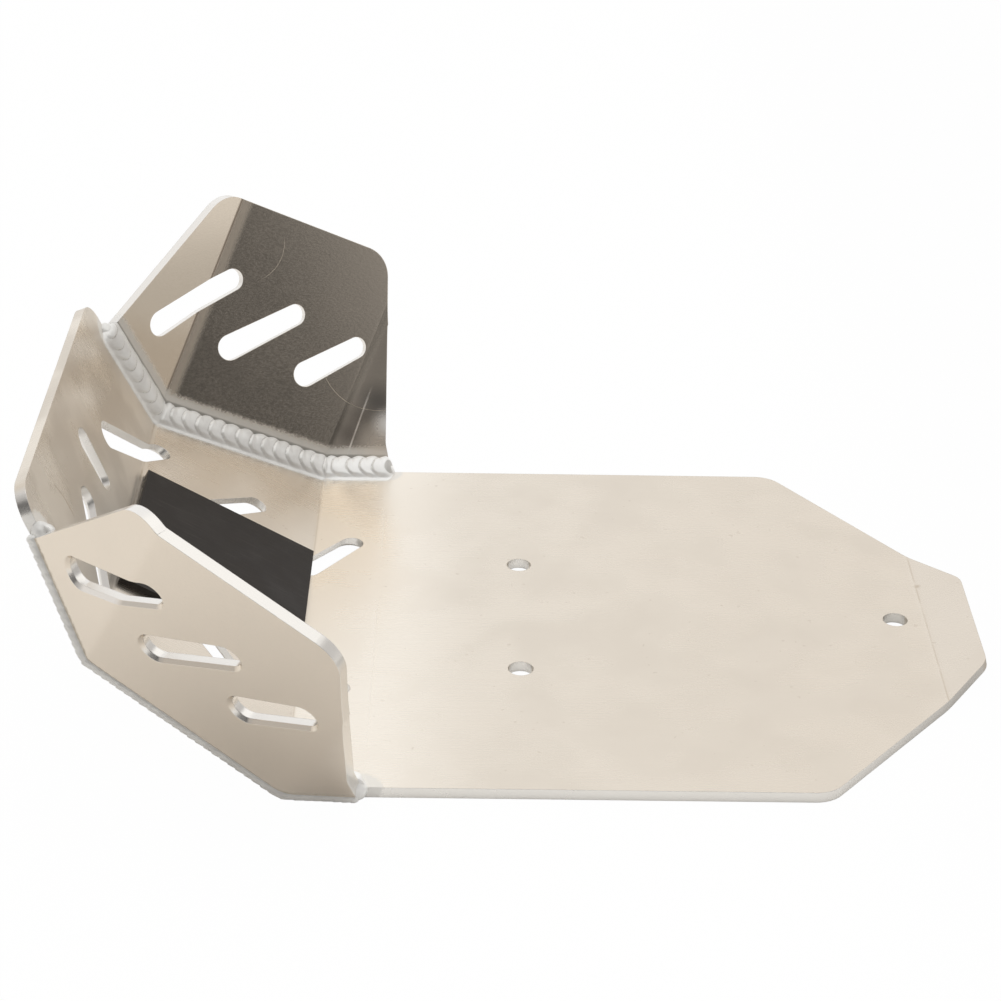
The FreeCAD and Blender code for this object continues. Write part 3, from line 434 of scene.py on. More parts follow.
def scratch(tree, centre, radius, middle, half_length, width=0.25):
    """One scratch, in millimetres."""
    arc = add_node(tree, "ShaderNodeGroup", node_tree=scratch_group)
    arc.inputs["Centre"].default_value = Vector(centre) * MM
    arc.inputs["Radius"].default_value = radius * MM
    arc.inputs["Middle"].default_value = Vector(middle) * MM
    arc.inputs["Half Length"].default_value = half_length * MM
    arc.inputs["Width"].default_value = width * MM
    return arc.outputs["Scratch"]


def round_spot(tree, centre, reach):
    """A soft spot that fades out at its reach, in millimetres."""
    return scratch(tree, centre, 0.0, centre, reach * 2, reach)


# %% [markdown]
# A fold and a forming tool leave straight marks. The distance to a line is the length of a cross
# product, so a point, a direction and a width are all that such a mark needs.

# %% Straight marks as a node group
CORE_SHARE = 0.15
line_group, given, result = new_group(
    "Line mark",
    [("Start", "NodeSocketVector", (0, 0, 0)), ("Direction", "NodeSocketVector", (0, 0, 1)),
     ("Width", "NodeSocketFloat", 0.001)],
    [("Mark", "NodeSocketFloat")],
)
offset = vectors(line_group, "SUBTRACT", object_place(line_group), given["Start"])
off_line = vectors(line_group, "LENGTH", vectors(line_group, "CROSS_PRODUCT", offset, given["Direction"]))
core = times(line_group, given["Width"], CORE_SHARE)
mark = between(line_group, off_line, core, given["Width"], 1.0, 0.0)
wire(line_group, (mark, result["Mark"]))
print("line mark:", len(line_group.nodes), "nodes")


def line_mark(tree, start, end, width):
    """A mask along the straight line through two places; width in millimetres."""
    line = add_node(tree, "ShaderNodeGroup", node_tree=line_group)
    line.inputs["Start"].default_value = start
    line.inputs["Direction"].default_value = (end - start).normalized()
    line.inputs["Width"].default_value = width * MM
    return line.outputs["Mark"]


# %% [markdown]
# One class builds the metal of plate and wings: grain and clouds, then layers of wear and of
# painted light and shade, and the cut edges on top.

# %% Sheet aluminium
CUT_EDGE_COLOUR, CUT_EDGE_SHARE, CUT_EDGE_ROUGHNESS = (0.86, 0.845, 0.82), 0.9, 0.27
CLOUD_TONE, LINE_TONE, LINE_SHARE = 0.95, 0.955, 0.5
MATT_MIRROR = 0.25
SOFT_CORNER = 0.4 * MM


def normal_of(rise):
    return Vector((math.sin(rise), 0, math.cos(rise)))


class SheetMetal:
    """Bare rolled aluminium: colour, roughness and height are layered, then joined to the shader."""

    def __init__(self, name, colour, stretch, roughness, cloudy, flats):
        self.material = bpy.data.materials.new(name)
        self.material.use_nodes = True
        self.tree = tree = self.material.node_tree
        tree.nodes.clear()
        self.grain = add_node(tree, "ShaderNodeGroup", node_tree=grain_group)
        self.grain.inputs["Stretch"].default_value = stretch
        self.seam = add_node(tree, "ShaderNodeGroup", node_tree=seam_group)
        self.place = split(tree, object_place(tree))
        handled = times(tree, between(tree, self.grain.outputs["Clouds"], 0.35, 0.68), cloudy)
        drawn = between(tree, self.grain.outputs["Lines"], 0.25, 0.75)
        self.colour = blend_colours(tree, handled, colour, tuple(c * CLOUD_TONE for c in colour))
        self.layer_colour(times(tree, drawn, LINE_SHARE), tuple(c * LINE_TONE for c in colour))
        by_lines = between(tree, drawn, 0.0, 1.0, -0.03, 0.03)
        by_clouds = between(tree, handled, 0.0, 1.0, roughness - 0.03, roughness + 0.05)
        self.roughness = mathematics(tree, "ADD", by_lines, by_clouds)
        self.height = drawn
        self.mirror = 1.0
        self.cut_edge = add_node(tree, "ShaderNodeGroup", node_tree=edge_group)
        for number, flat in enumerate(flats, start=1):
            self.cut_edge.inputs[f"Flat {number}"].default_value = flat

    def by_place(self, axis, low, high, to_low=0.0, to_high=1.0):
        """A share that changes between two places along one axis."""
        return between(self.tree, self.place[axis], low, high, to_low, to_high)

    def layer_colour(self, share, colour):
        self.colour = blend_colours(self.tree, share, self.colour, colour)

    def layer_roughness(self, share, roughness):
        mixed = add_node(self.tree, "ShaderNodeMix", data_type="FLOAT")
        wire(self.tree, (share, mixed.inputs["Factor"]), (self.roughness, mixed.inputs["A"]))
        mixed.inputs["B"].default_value = roughness
        self.roughness = mixed.outputs["Result"]

    def layer(self, share, colour, roughness):
        self.layer_colour(share, colour)
        self.layer_roughness(share, roughness)

    def matt_layer(self, share, colour, roughness):
        """A layer that hardly mirrors: etched metal, and matt painted light and shade on the wings."""
        self.layer(share, colour, roughness)
        dulled = between(self.tree, share, 0.0, 1.0, 1.0, MATT_MIRROR, smooth=False)
        self.mirror = times(self.tree, self.mirror, dulled)

    def seam_band(self, near, far, colour, roughness, amount):
        """The matt etched band beside the bead, with a ragged outer edge; it hardly mirrors."""
        band = between(self.tree, self.seam.outputs["Ragged Distance"], near, far, 1.0, 0.0)
        self.matt_layer(times(self.tree, band, amount), colour, roughness)

    def finish(self):
        """Lays the cut edges over everything and joins the layers to the shader."""
        tree = self.tree
        edge = times(tree, self.cut_edge.outputs["Edge"], CUT_EDGE_SHARE)
        self.layer(edge, CUT_EDGE_COLOUR, CUT_EDGE_ROUGHNESS)
        skin = add_node(tree, "ShaderNodeBsdfPrincipled")
        softened = add_node(tree, "ShaderNodeBevel", samples=4, in_Radius=SOFT_CORNER)
        bump = add_node(tree, "ShaderNodeBump", in_Strength=0.07, in_Distance=0.06 * MM)
        wire(tree, (self.colour, skin.inputs["Base Color"]), (self.roughness, skin.inputs["Roughness"]),
             (self.mirror, skin.inputs["Metallic"]),
             (self.height, bump.inputs["Height"]), (softened.outputs[0], bump.inputs["Normal"]),
             (bump.outputs[0], skin.inputs["Normal"]),
             (skin.outputs[0], add_node(tree, "ShaderNodeOutputMaterial").inputs["Surface"]))
        print(self.material.name, "has", len(tree.nodes), "nodes")
        return self.material


def dress(node_name, material):
    """Gives a solid its finish in place of the one it was packed with."""
    mesh = nodes[node_name].data
    mesh.materials.clear()
    mesh.materials.append(material)


# %% [markdown]
# Every crease of the plate gets a brown line of painted shade. The panel is mottled and the
# rest hardly so. The strip and the start of the floor are painted paler as painted light, the tail
# is a shade darker, and the foot of the panel is duller beside the bend and carries a painted dark
# reflection of the pad on its near half.

# %% Main plate
PLATE_COLOUR = (0.815, 0.75, 0.66)
PLATE_GRAIN, PLATE_ROUGHNESS, PLATE_CLOUDS = (22, 1500, 22), 0.28, 1.0
BROWN, BROWN_ROUGHNESS = (0.46, 0.37, 0.27), 0.4
PANEL_MOTTLE, PANEL_MOTTLE_ROUGHNESS = (0.50, 0.44, 0.37), 0.32
TAIL_COLOUR = (0.725, 0.655, 0.57)
PAINTED_LIGHT_STRIP = (0.935, 0.875, 0.785)
BEND_SHADE, BEND_ROUGHNESS = (0.45, 0.43, 0.40), 0.5
SPECK_COLOUR = (0.55, 0.48, 0.40)
ETCHED_PLATE, ETCHED_ROUGHNESS = (0.84, 0.82, 0.78), 0.5
plate = SheetMetal("plate_aluminium", PLATE_COLOUR, PLATE_GRAIN, PLATE_ROUGHNESS, PLATE_CLOUDS,
                   [Vector((0, 0, 1)), normal_of(RAMP_RISE), normal_of(PANEL_RISE)])
tree = plate.tree
crease_noise = add_node(tree, "ShaderNodeTexNoise", in_Scale=90.0, in_Detail=3.0)
mottle = add_node(tree, "ShaderNodeTexNoise", in_Scale=34.0, in_Detail=2.0, in_Roughness=0.4)
wire(tree, (object_place(tree), crease_noise.inputs["Vector"]), (object_place(tree), mottle.inputs["Vector"]))
creases = ((STRIP_CREASE, 0.45), (ramp_foot.x, 0.6), (ramp_head.x, 0.5), (TAIL_CREASE, 0.5))
# A painted shade line, broken up by noise, lies along each crease of the plate.
for crease, strength in creases:
    off_crease = mathematics(tree, "SUBTRACT", plate.place["X"], crease)
    off_crease = mathematics(tree, "ABSOLUTE", off_crease)
    line = between(tree, off_crease, 0.1 * MM, 0.55 * MM, strength, 0.0)
    crease_shade = times(tree, line, between(tree, crease_noise.outputs["Fac"], 0.32, 0.6, 0.25, 1.0))
    plate.layer(crease_shade, BROWN, BROWN_ROUGHNESS)
on_panel = plate.by_place("X", ramp_head.x - 2 * MM, ramp_head.x + 30 * MM, 0.40, 0.06)
blotch = between(tree, mottle.outputs["Fac"], 0.42, 0.62)
plate.layer(times(tree, blotch, on_panel), PANEL_MOTTLE, PANEL_MOTTLE_ROUGHNESS)
on_tail = plate.by_place("X", TAIL_CREASE - 1 * MM, TAIL_CREASE + 1 * MM, 0.0, 0.7)
plate.layer_colour(on_tail, TAIL_COLOUR)
# The strip and the start of the floor are painted paler: painted light.
past_ramp = plate.by_place("X", ramp_foot.x - 1 * MM, ramp_foot.x + 1 * MM)
on_strip = plate.by_place("X", STRIP_CREASE - 2 * MM, STRIP_CREASE + 50 * MM, 1.0, 0.0)
plate.layer_colour(times(tree, past_ramp, on_strip), PAINTED_LIGHT_STRIP)
near_bend = plate.by_place("X", ramp_head.x - 16 * MM, ramp_head.x - 4 * MM)
above_bend = plate.by_place("X", ramp_head.x, ramp_head.x + 2 * MM, 1.0, 0.0)
beside_bend = times(tree, near_bend, above_bend)
plate.layer_roughness(times(tree, beside_bend, 0.9), BEND_ROUGHNESS)
# On the near half the foot of the panel also gets a painted dark reflection of the pad.
near_half = plate.by_place("Y", -30 * MM, 60 * MM, 0.6, 0.0)
plate.layer_colour(times(tree, beside_bend, near_half), BEND_SHADE)
panel_scratch = scratch(tree, (-186.4, -78, 86), 24.5, (-188, -53.7, 90), 11.0, 0.45)
plate.layer(panel_scratch, BROWN, BROWN_ROUGHNESS)
tail_spot = round_spot(tree, (181, 29, 4.8), 2.2)
plate.layer(times(tree, tail_spot, 0.55), BROWN, BROWN_ROUGHNESS)
plate.layer(times(tree, plate.grain.outputs["Specks"], 0.3), SPECK_COLOUR, BROWN_ROUGHNESS)
plate.seam_band(8.6, 10.8, ETCHED_PLATE, ETCHED_ROUGHNESS, 0.8)
dress("main_plate", plate.finish())

# %% [markdown]
# The wings show the same metal with more marks: a painted shade line and a painted reflection at the
# front fold, a painted highlight at the rear fold, a grey band above the weld with a painted contact
# shadow, arcs from handling, and clouds in the grain.

# %% Flats and folds of a wing
WING_LEAN = math.radians(20.5)
WING_HEIGHT = 110.5 * MM
FRONT_FOLD_OFFSET = 7.2 * MM
REAR_FOLD_OFFSET = 10.0 * MM


def pointing_to(direction, goal):
    return direction if direction.dot(goal) > 0 else -direction


def mirrored(point, side):
    return Vector((point.x, point.y * side, point.z))


def wing_flats(side):
    """Normals of a wing's front, middle and rear flats, and the upper ends of its two folds."""
    head, foot = mirrored(ramp_head, side), mirrored(ramp_foot, side)
    inside = Vector((0, -side, 0))
    along = (foot - head).normalized()
    level = pointing_to(Vector((-along.y, along.x, 0)).normalized(), inside)
    upright = pointing_to(along.cross(level).normalized(), Vector((0, 0, 1)))
    middle = upright * math.sin(WING_LEAN) + level * math.cos(WING_LEAN)
    up_wing = pointing_to(along.cross(middle).normalized(), Vector((0, 0, 1)))
    front_top = head + along * FRONT_FOLD_OFFSET + up_wing * WING_HEIGHT
    rear_top = foot + along * REAR_FOLD_OFFSET + up_wing * WING_HEIGHT
    edge, strip = mirrored(panel_edge, side), mirrored(strip_foot, side)
    front = pointing_to((edge - head).cross(front_top - head).normalized(), inside)
    rear = pointing_to((strip - foot).cross(rear_top - foot).normalized(), inside)
    return (front, middle, rear), (front_top, rear_top)


# %% Metal of the wings
WING_COLOUR = (0.83, 0.745, 0.64)
WING_GRAIN, WING_ROUGHNESS, WING_CLOUDS = (22, 1300, 1300), 0.16, 0.35
FRONT_FOLD_REFLECTION = (0.62, 0.53, 0.43)
FRONT_FOLD_SHADE = (0.20, 0.15, 0.11)
REAR_FOLD_HIGHLIGHT = (1.0, 0.95, 0.88)
REAR_FOLD_HIGHLIGHT_FOOT = Vector((-83.4, 137.5, 12.1)) * MM
REAR_FOLD_HIGHLIGHT_TOP = Vector((-74.8, 151.0, 33.4)) * MM
ETCHED_WING = (0.74, 0.71, 0.66)
CONTACT_SHADOW = (0.20, 0.19, 0.17)


def wing_metal(side, name):
    """What both wings share: painted shade and a painted reflection at the front fold, a painted
    highlight at the rear fold, the band, and a painted contact shadow.
    """
    normals, _ = wing_flats(1)
    metal = SheetMetal(name, WING_COLOUR, WING_GRAIN, WING_ROUGHNESS, WING_CLOUDS, normals)
    _, (front_top, _) = wing_flats(side)
    head, foot = mirrored(ramp_head, side), mirrored(ramp_foot, side)
    tree = metal.tree
    inside = metal.cut_edge.outputs["Inside"]
    # A painted reflection of the fold's curve lies just behind the front fold.
    across_fold = (foot - head).normalized() * (2.6 * MM)
    front_fold_reflection = line_mark(tree, head + across_fold, front_top + across_fold, 4.4)
    metal.matt_layer(times(tree, times(tree, front_fold_reflection, inside), 0.5), FRONT_FOLD_REFLECTION, 0.35)
    # A painted shade line lies on the front fold.
    front_fold_shade = times(tree, line_mark(tree, head, front_top, 1.0), inside)
    metal.layer(times(tree, front_fold_shade, 0.75), FRONT_FOLD_SHADE, 0.4)
    # A painted highlight runs along the lower part of the rear fold.
    rear_fold_highlight = line_mark(tree, mirrored(REAR_FOLD_HIGHLIGHT_FOOT, side), mirrored(REAR_FOLD_HIGHLIGHT_TOP, side), 0.65)
    low = metal.by_place("Z", 33 * MM, 42 * MM, 0.9, 0.0)
    metal.matt_layer(times(tree, times(tree, rear_fold_highlight, inside), low), REAR_FOLD_HIGHLIGHT, 0.6)
    metal.seam_band(9.8, 13.6, ETCHED_WING, ETCHED_ROUGHNESS, times(tree, inside, 0.95))
    # A painted contact shadow lies on the wing just above the bead.
    contact_shadow = between(tree, metal.seam.outputs["Distance"], 7.7, 8.9, 0.65, 0.0)
    metal.layer_colour(times(tree, contact_shadow, inside), CONTACT_SHADOW)
    return metal


# %% [markdown]
# The left wing shows its inside to the camera, so its own marks are laid on too, and patches of
# painted reflection and shade on its rear flat. Every place below is in millimetres, near enough to
# the sheet for the mark to reach it.

# %% Marks of the left wing
# Each patch of painted light and shade on the rear flat has a centre, a reach, a strength, a colour, and
# says whether it is laid on matt.
PAINTED_LIGHT_PATCHES = (
    ((-68.7, 152.0, 34.2), 14.0, 0.8, (0.30, 0.28, 0.26), False),
    ((-77.5, 147.5, 27.5), 9.0, 0.6, (0.36, 0.31, 0.27), False),
    ((-82.0, 143.5, 20.5), 9.0, 0.7, (0.36, 0.31, 0.27), False),
    ((-67.5, 140.0, 15.5), 17.0, 0.5, (0.83, 0.72, 0.61), True),
    ((-63.6, 146.4, 25.0), 10.5, 0.85, (1.0, 0.99, 0.97), True),
)
# Each arc has a centre and a radius, and the middle and half length of the part that is kept.
ARCS = (
    ((-68.6, 167.1, 58.0), 32.6, (-81.7, 151.4, 36.0), 23.0),
    ((-130.4, 154.2, 117.0), 19.3, (-117.7, 157.7, 107.0), 13.0),
)
SPECKS = ((-96.9, 169.0, 106.0), (-94.5, 169.9, 104.7), (-92.2, 170.8, 103.8))
ARC_COLOUR = (0.85, 0.74, 0.60)
DARK_SPECK = (0.2, 0.17, 0.14)
UPPER_FOLD_REFLECTION = (0.62, 0.57, 0.50)

left = wing_metal(1, "left_wing_aluminium")
tree = left.tree
inside = left.cut_edge.outputs["Inside"]
for centre, reach, amount, colour, matt in PAINTED_LIGHT_PATCHES:
    light_patch = times(tree, times(tree, round_spot(tree, centre, reach), amount), inside)
    (left.matt_layer if matt else left.layer)(light_patch, colour, 0.4 if matt else 0.2)
for arc in ARCS:
    left.layer(times(tree, scratch(tree, *arc), 0.7), ARC_COLOUR, 0.5)
for speck in SPECKS:
    left.layer(times(tree, round_spot(tree, speck, 1.1), 0.6), DARK_SPECK, 0.4)
# A painted reflection runs along the upper part of the rear fold.
bend_side = (ramp_foot - ramp_head).normalized() * (-1.6 * MM)
fold_top = wing_flats(1)[1][1]
upper_fold_reflection = line_mark(tree, ramp_foot + bend_side, fold_top + bend_side, 3.6)
above_arc = left.by_place("Z", 24 * MM, 44 * MM, 0.0, 0.3)
left.matt_layer(times(tree, times(tree, upper_fold_reflection, inside), above_arc), UPPER_FOLD_REFLECTION, 0.25)
dress("left_wing", left.finish())
dress("right_wing", wing_metal(-1, "right_wing_aluminium").finish())

# %% [markdown]
# The pad is black sponge rubber with a skin. Fine streaks run across it from the knife, and dust
# has paled it a little.

# %% Rubber pad
RUBBER = (0.020, 0.0165, 0.0145)
RUBBER_DUST = (0.034, 0.029, 0.0255)
RUBBER_STREAK = (0.046, 0.039, 0.034)
rubber = bpy.data.materials.new("pad_rubber")
rubber.use_nodes = True
tree = rubber.node_tree
skin = tree.nodes["Principled BSDF"]
skin.inputs["Specular IOR Level"].default_value = 0.3
grain = add_node(tree, "ShaderNodeGroup", node_tree=grain_group)
grain.inputs["Stretch"].default_value = (60, 1400, 60)
grain.inputs["Cloud Size"].default_value = 45.0
dusty = times(tree, between(tree, grain.outputs["Clouds"], 0.4, 0.7), 0.6)
streaked = times(tree, between(tree, grain.outputs["Lines"], 0.55, 0.75), 0.6)
shade = blend_colours(tree, dusty, RUBBER, RUBBER_DUST)
shade = blend_colours(tree, streaked, shade, RUBBER_STREAK)
bump = add_node(tree, "ShaderNodeBump", in_Strength=0.4, in_Distance=0.2 * MM)
wire(tree, (shade, skin.inputs["Base Color"]), (grain.outputs["Lines"], bump.inputs["Height"]),
     (bump.outputs[0], skin.inputs["Normal"]),
     (between(tree, grain.outputs["Clouds"], 0.3, 0.7, 0.5, 0.66), skin.inputs["Roughness"]))
dress("rubber_pad", rubber)
print(rubber.name, "has", len(tree.nodes), "nodes")

# %% [markdown]
# The wings are joined by hand with a filler rod. Each drop of metal freezes as a small disc over
# the last one, so the bead looks like a row of tipped coins. A texture can't give that outline
# against the dark wing, so the ripples are modelled. First come the three straight runs of a
# joint, each with the directions in which the two sheets leave it.

# %% Runs of a welded joint
def joint_runs(side):
    """Start, end, plate normal and wing normal of the three runs, from front to rear."""
    front, middle, rear = wing_flats(side)[0]
    rear_end = mirrored(strip_foot, side)
    rear_end.x = WING_REAR_EDGE + side * WING_SET
    edge, head, foot = (mirrored(point, side) for point in (panel_edge, ramp_head, ramp_foot))
    return [
        (edge, head, normal_of(PANEL_RISE), front),
        (head, foot, normal_of(RAMP_RISE), middle),
        (foot, rear_end, normal_of(STRIP_RISE), rear),
    ]


CORNER_TURN = 4.0 * MM


class Seam:
    """A joint as one line, with both sheets' directions at any distance from its front end."""

    def __init__(self, side):
        self.stops = []
        reached = 0.0
        for start, end, plate_up, wing_in in joint_runs(side):
            own = (end - start).normalized()
            on_plate = pointing_to(own.cross(plate_up).normalized(), wing_in)
            on_wing = pointing_to(own.cross(wing_in).normalized(), plate_up)
            length = (end - start).length
            self.stops.append((reached, length, start, own, on_plate, on_wing, plate_up, wing_in))
            reached += length
        self.length = reached

    def run_at(self, distance):
        for index, stop in enumerate(self.stops):
            if distance <= stop[0] + stop[1] or index == len(self.stops) - 1:
                return index, stop

    def at(self, distance):
        """Place and directions; near a corner they turn from one run's to the next one's."""
        index, stop = self.run_at(distance)
        values = [stop[2] + stop[3] * (distance - stop[0])] + [v.copy() for v in stop[3:]]
        for other, edge in ((index - 1, stop[0]), (index + 1, stop[0] + stop[1])):
            gap = abs(distance - edge)
            if 0 <= other < len(self.stops) and gap < CORNER_TURN:
                weight = 0.5 * (1 - gap / CORNER_TURN)
                for place, direction in enumerate(self.stops[other][3:], start=1):
                    values[place] = values[place].lerp(direction, weight).normalized()
        return values


seams = {"left": Seam(1), "right": Seam(-1)}
print("each seam is", round(seams["left"].length / MM), "mm long")

# %% [markdown]
# A bead starts as a flat grid, as long as the seam and as wide as the way round the bead. A rule
# for the height of each coin then shapes it: a steep rim where a coin begins, a gentle fall to the
# next one, and a rounded outline across the bead. The welder started at the ramp's upper corner and
# worked outwards both ways, so the coins point one way on the ramp and the other way on the panel.

# %% Rows of coins
COIN_PITCH = 6.9 * MM
COIN_BOW = 7.0 * MM
COIN_TAIL = 6.8 * MM
COIN_MIDDLE = -0.22
COINS_BEFORE_START = 2.5
FLAT_TOP = 0.7
RIM_SHARE = 0.13
COIN_FALL = 0.85


class CoinRow:
    """Drops of metal from a start outwards; each is a place, a bow, a middle and a height."""

    def __init__(self, length, seed, height, pitch=COIN_PITCH, bow=COIN_BOW):
        chance = random.Random(seed)
        self.coins = []
        place = -COINS_BEFORE_START * pitch
        while place < length + pitch:
            own_bow = bow * chance.uniform(0.9, 1.1)
            own_middle = COIN_MIDDLE + chance.uniform(-0.12, 0.12)
            self.coins.append((place, own_bow, own_middle, height * chance.uniform(0.85, 1.15)))
            place += pitch * chance.uniform(0.88, 1.12)

    def outline(self, coin, across):
        """How far along the bead a coin begins, at -1 on the plate's side to 1 on the wing's."""
        place, bow, middle, _ = coin
        if across > middle:
            reach = min((across - middle) / (1 - middle), 1.0)
            return place + bow * (1 - math.sqrt(1 - reach * reach))
        reach = (middle - across) / (1 + middle)
        return place + COIN_TAIL * reach ** 1.9

    def top(self, distance):
        """How far the round tops of the coins reach across, as a share of the full width."""
        highest = FLAT_TOP
        for place, bow, middle, _ in self.coins:
            off_centre = (distance - place - bow) / bow
            if abs(off_centre) < 1:
                arch = math.sqrt(1 - off_centre * off_centre)
                highest = max(highest, middle + (1 - middle) * arch)
        return highest

    def at(self, distance, across):
        """Height of the coin here, and the share of its length that lies behind."""
        top, share = self.coins[0], 0.0
        for coin, following in zip(self.coins, self.coins[1:]):
            start = self.outline(coin, across)
            if distance < start:
                break
            top = coin
            share = (distance - start) / max(self.outline(following, across) - start, 0.1 * MM)
        share = min(max(share, 0.0), 1.0)
        rim = math.sqrt(1 - (1 - min(share / RIM_SHARE, 1.0)) ** 2)
        fall = 1 - COIN_FALL * share ** 1.8
        return top[3] * rim * fall, share


def smooth_step(value, low, high):
    share = min(max((value - low) / (high - low), 0.0), 1.0)
    return share * share * (3 - 2 * share)


def wrapped_grid(stations, rows, shape):
    """A grid wrapped into a closed tube; shape gives a vertex's place and its share along a coin."""
    form = bmesh.new()
    bmesh.ops.create_grid(form, x_segments=stations, y_segments=rows, size=0.5)
    coin_share = form.verts.layers.float.new("coin_share")
    for vert in form.verts:
        vert.co, vert[coin_share] = shape(vert.co.x + 0.5, vert.co.y + 0.5)
    bmesh.ops.remove_doubles(form, verts=form.verts, dist=0.002 * MM)
    bmesh.ops.holes_fill(form, edges=[edge for edge in form.edges if edge.is_boundary], sides=0)
    bmesh.ops.recalc_face_normals(form, faces=form.faces)
    return form


def rounded_end(distance, length, reach):
    """1 along the bead, falling to 0 at both ends as a ball does."""
    inside = min(distance + reach, length + reach - distance)
    return math.sqrt(max(0.0, 1 - (1 - min(inside / reach, 1.0)) ** 2))


print("a coin every", round(COIN_PITCH / MM, 1), "mm")

# %% [markdown]
# Freshly frozen aluminium is frosted and pale, so it mirrors little. Each vertex of a bead knows
# how far along its coin it lies: the rim gets a painted highlight, and the groove between two coins a
# painted shadow, as does the inner bead's upper edge against the wing. On the strip, behind the
# ramp, the bead is painted paler, as painted light.

# %% Weld metal
WELD_PALE, WELD_FROST = (0.85, 0.845, 0.825), (0.78, 0.77, 0.75)
PAINTED_LIGHT_WELD = (1.0, 1.0, 0.99)
GROOVE_SHADOW = (0.34, 0.32, 0.29)
RIM_HIGHLIGHT = (0.96, 0.955, 0.94)
weld_metal = bpy.data.materials.new("weld_aluminium")
weld_metal.use_nodes = True
tree = weld_metal.node_tree
skin = tree.nodes["Principled BSDF"]
skin.inputs["Metallic"].default_value = 0.25
share = add_node(tree, "ShaderNodeAttribute", attribute_name="coin_share").outputs["Fac"]
grain = add_node(tree, "ShaderNodeGroup", node_tree=grain_group)
grain.inputs["Stretch"].default_value = (900, 900, 900)
grain.inputs["Cloud Size"].default_value = 160.0
frost = between(tree, grain.outputs["Clouds"], 0.35, 0.65)
shade = blend_colours(tree, frost, WELD_PALE, WELD_FROST)
along = split(tree, object_place(tree))["X"]
# Painted light: the bead on the strip is painted paler.
strip_light = between(tree, along, ramp_foot.x - 14 * MM, ramp_foot.x + 8 * MM, 0.0, 0.95)
shade = blend_colours(tree, strip_light, shade, PAINTED_LIGHT_WELD)
# Painted shadow in the groove between two coins.
shade = blend_colours(tree, between(tree, share, 0.86, 1.0, 0.0, 0.65), shade, GROOVE_SHADOW)
# A painted highlight on the rim where each coin begins.
shade = blend_colours(tree, between(tree, share, 0.04, 0.16, 0.9, 0.0), shade, RIM_HIGHLIGHT)
bump = add_node(tree, "ShaderNodeBump", in_Strength=0.25, in_Distance=0.12 * MM)
wire(tree, (shade, skin.inputs["Base Color"]),
     (between(tree, frost, 0.0, 1.0, 0.34, 0.46), skin.inputs["Roughness"]),
     (grain.outputs["Lines"], bump.inputs["Height"]), (bump.outputs[0], skin.inputs["Normal"]))
print(weld_metal.name, "has", len(tree.nodes), "nodes")

# %% [markdown]
# The inner bead fills the corner between plate and wing. From the plate up it has a low toe, the
# row of coins with a crown, and the upper edge on the wing, where the round tops stand out. Its
# back is buried in the corner. A nugget of filler ends it at the front and at the rear.

# %% Inner bead: a fillet between the plate and the wing
INNER_LEG = 7.8 * MM
INNER_SWELL = 1.7 * MM
PLATE_LEG = 9.3 * MM
COIN_FOOT = 0.78
TOE_HEIGHT = 0.35 * MM
TOE_SHARE = 0.12
COIN_RELIEF = 1.1 * MM
PANEL_COIN_HEIGHT = 0.32
END_REACH = 4.0 * MM
BURIED_SHARE = 0.26
BURIED_DEPTH = 0.4 * MM
START_BLEND = 1.2 * MM
WASHED_TOP = 0.96
INNER_STATION, INNER_ROWS = 0.36 * MM, 44
MID_COIN = 0.5


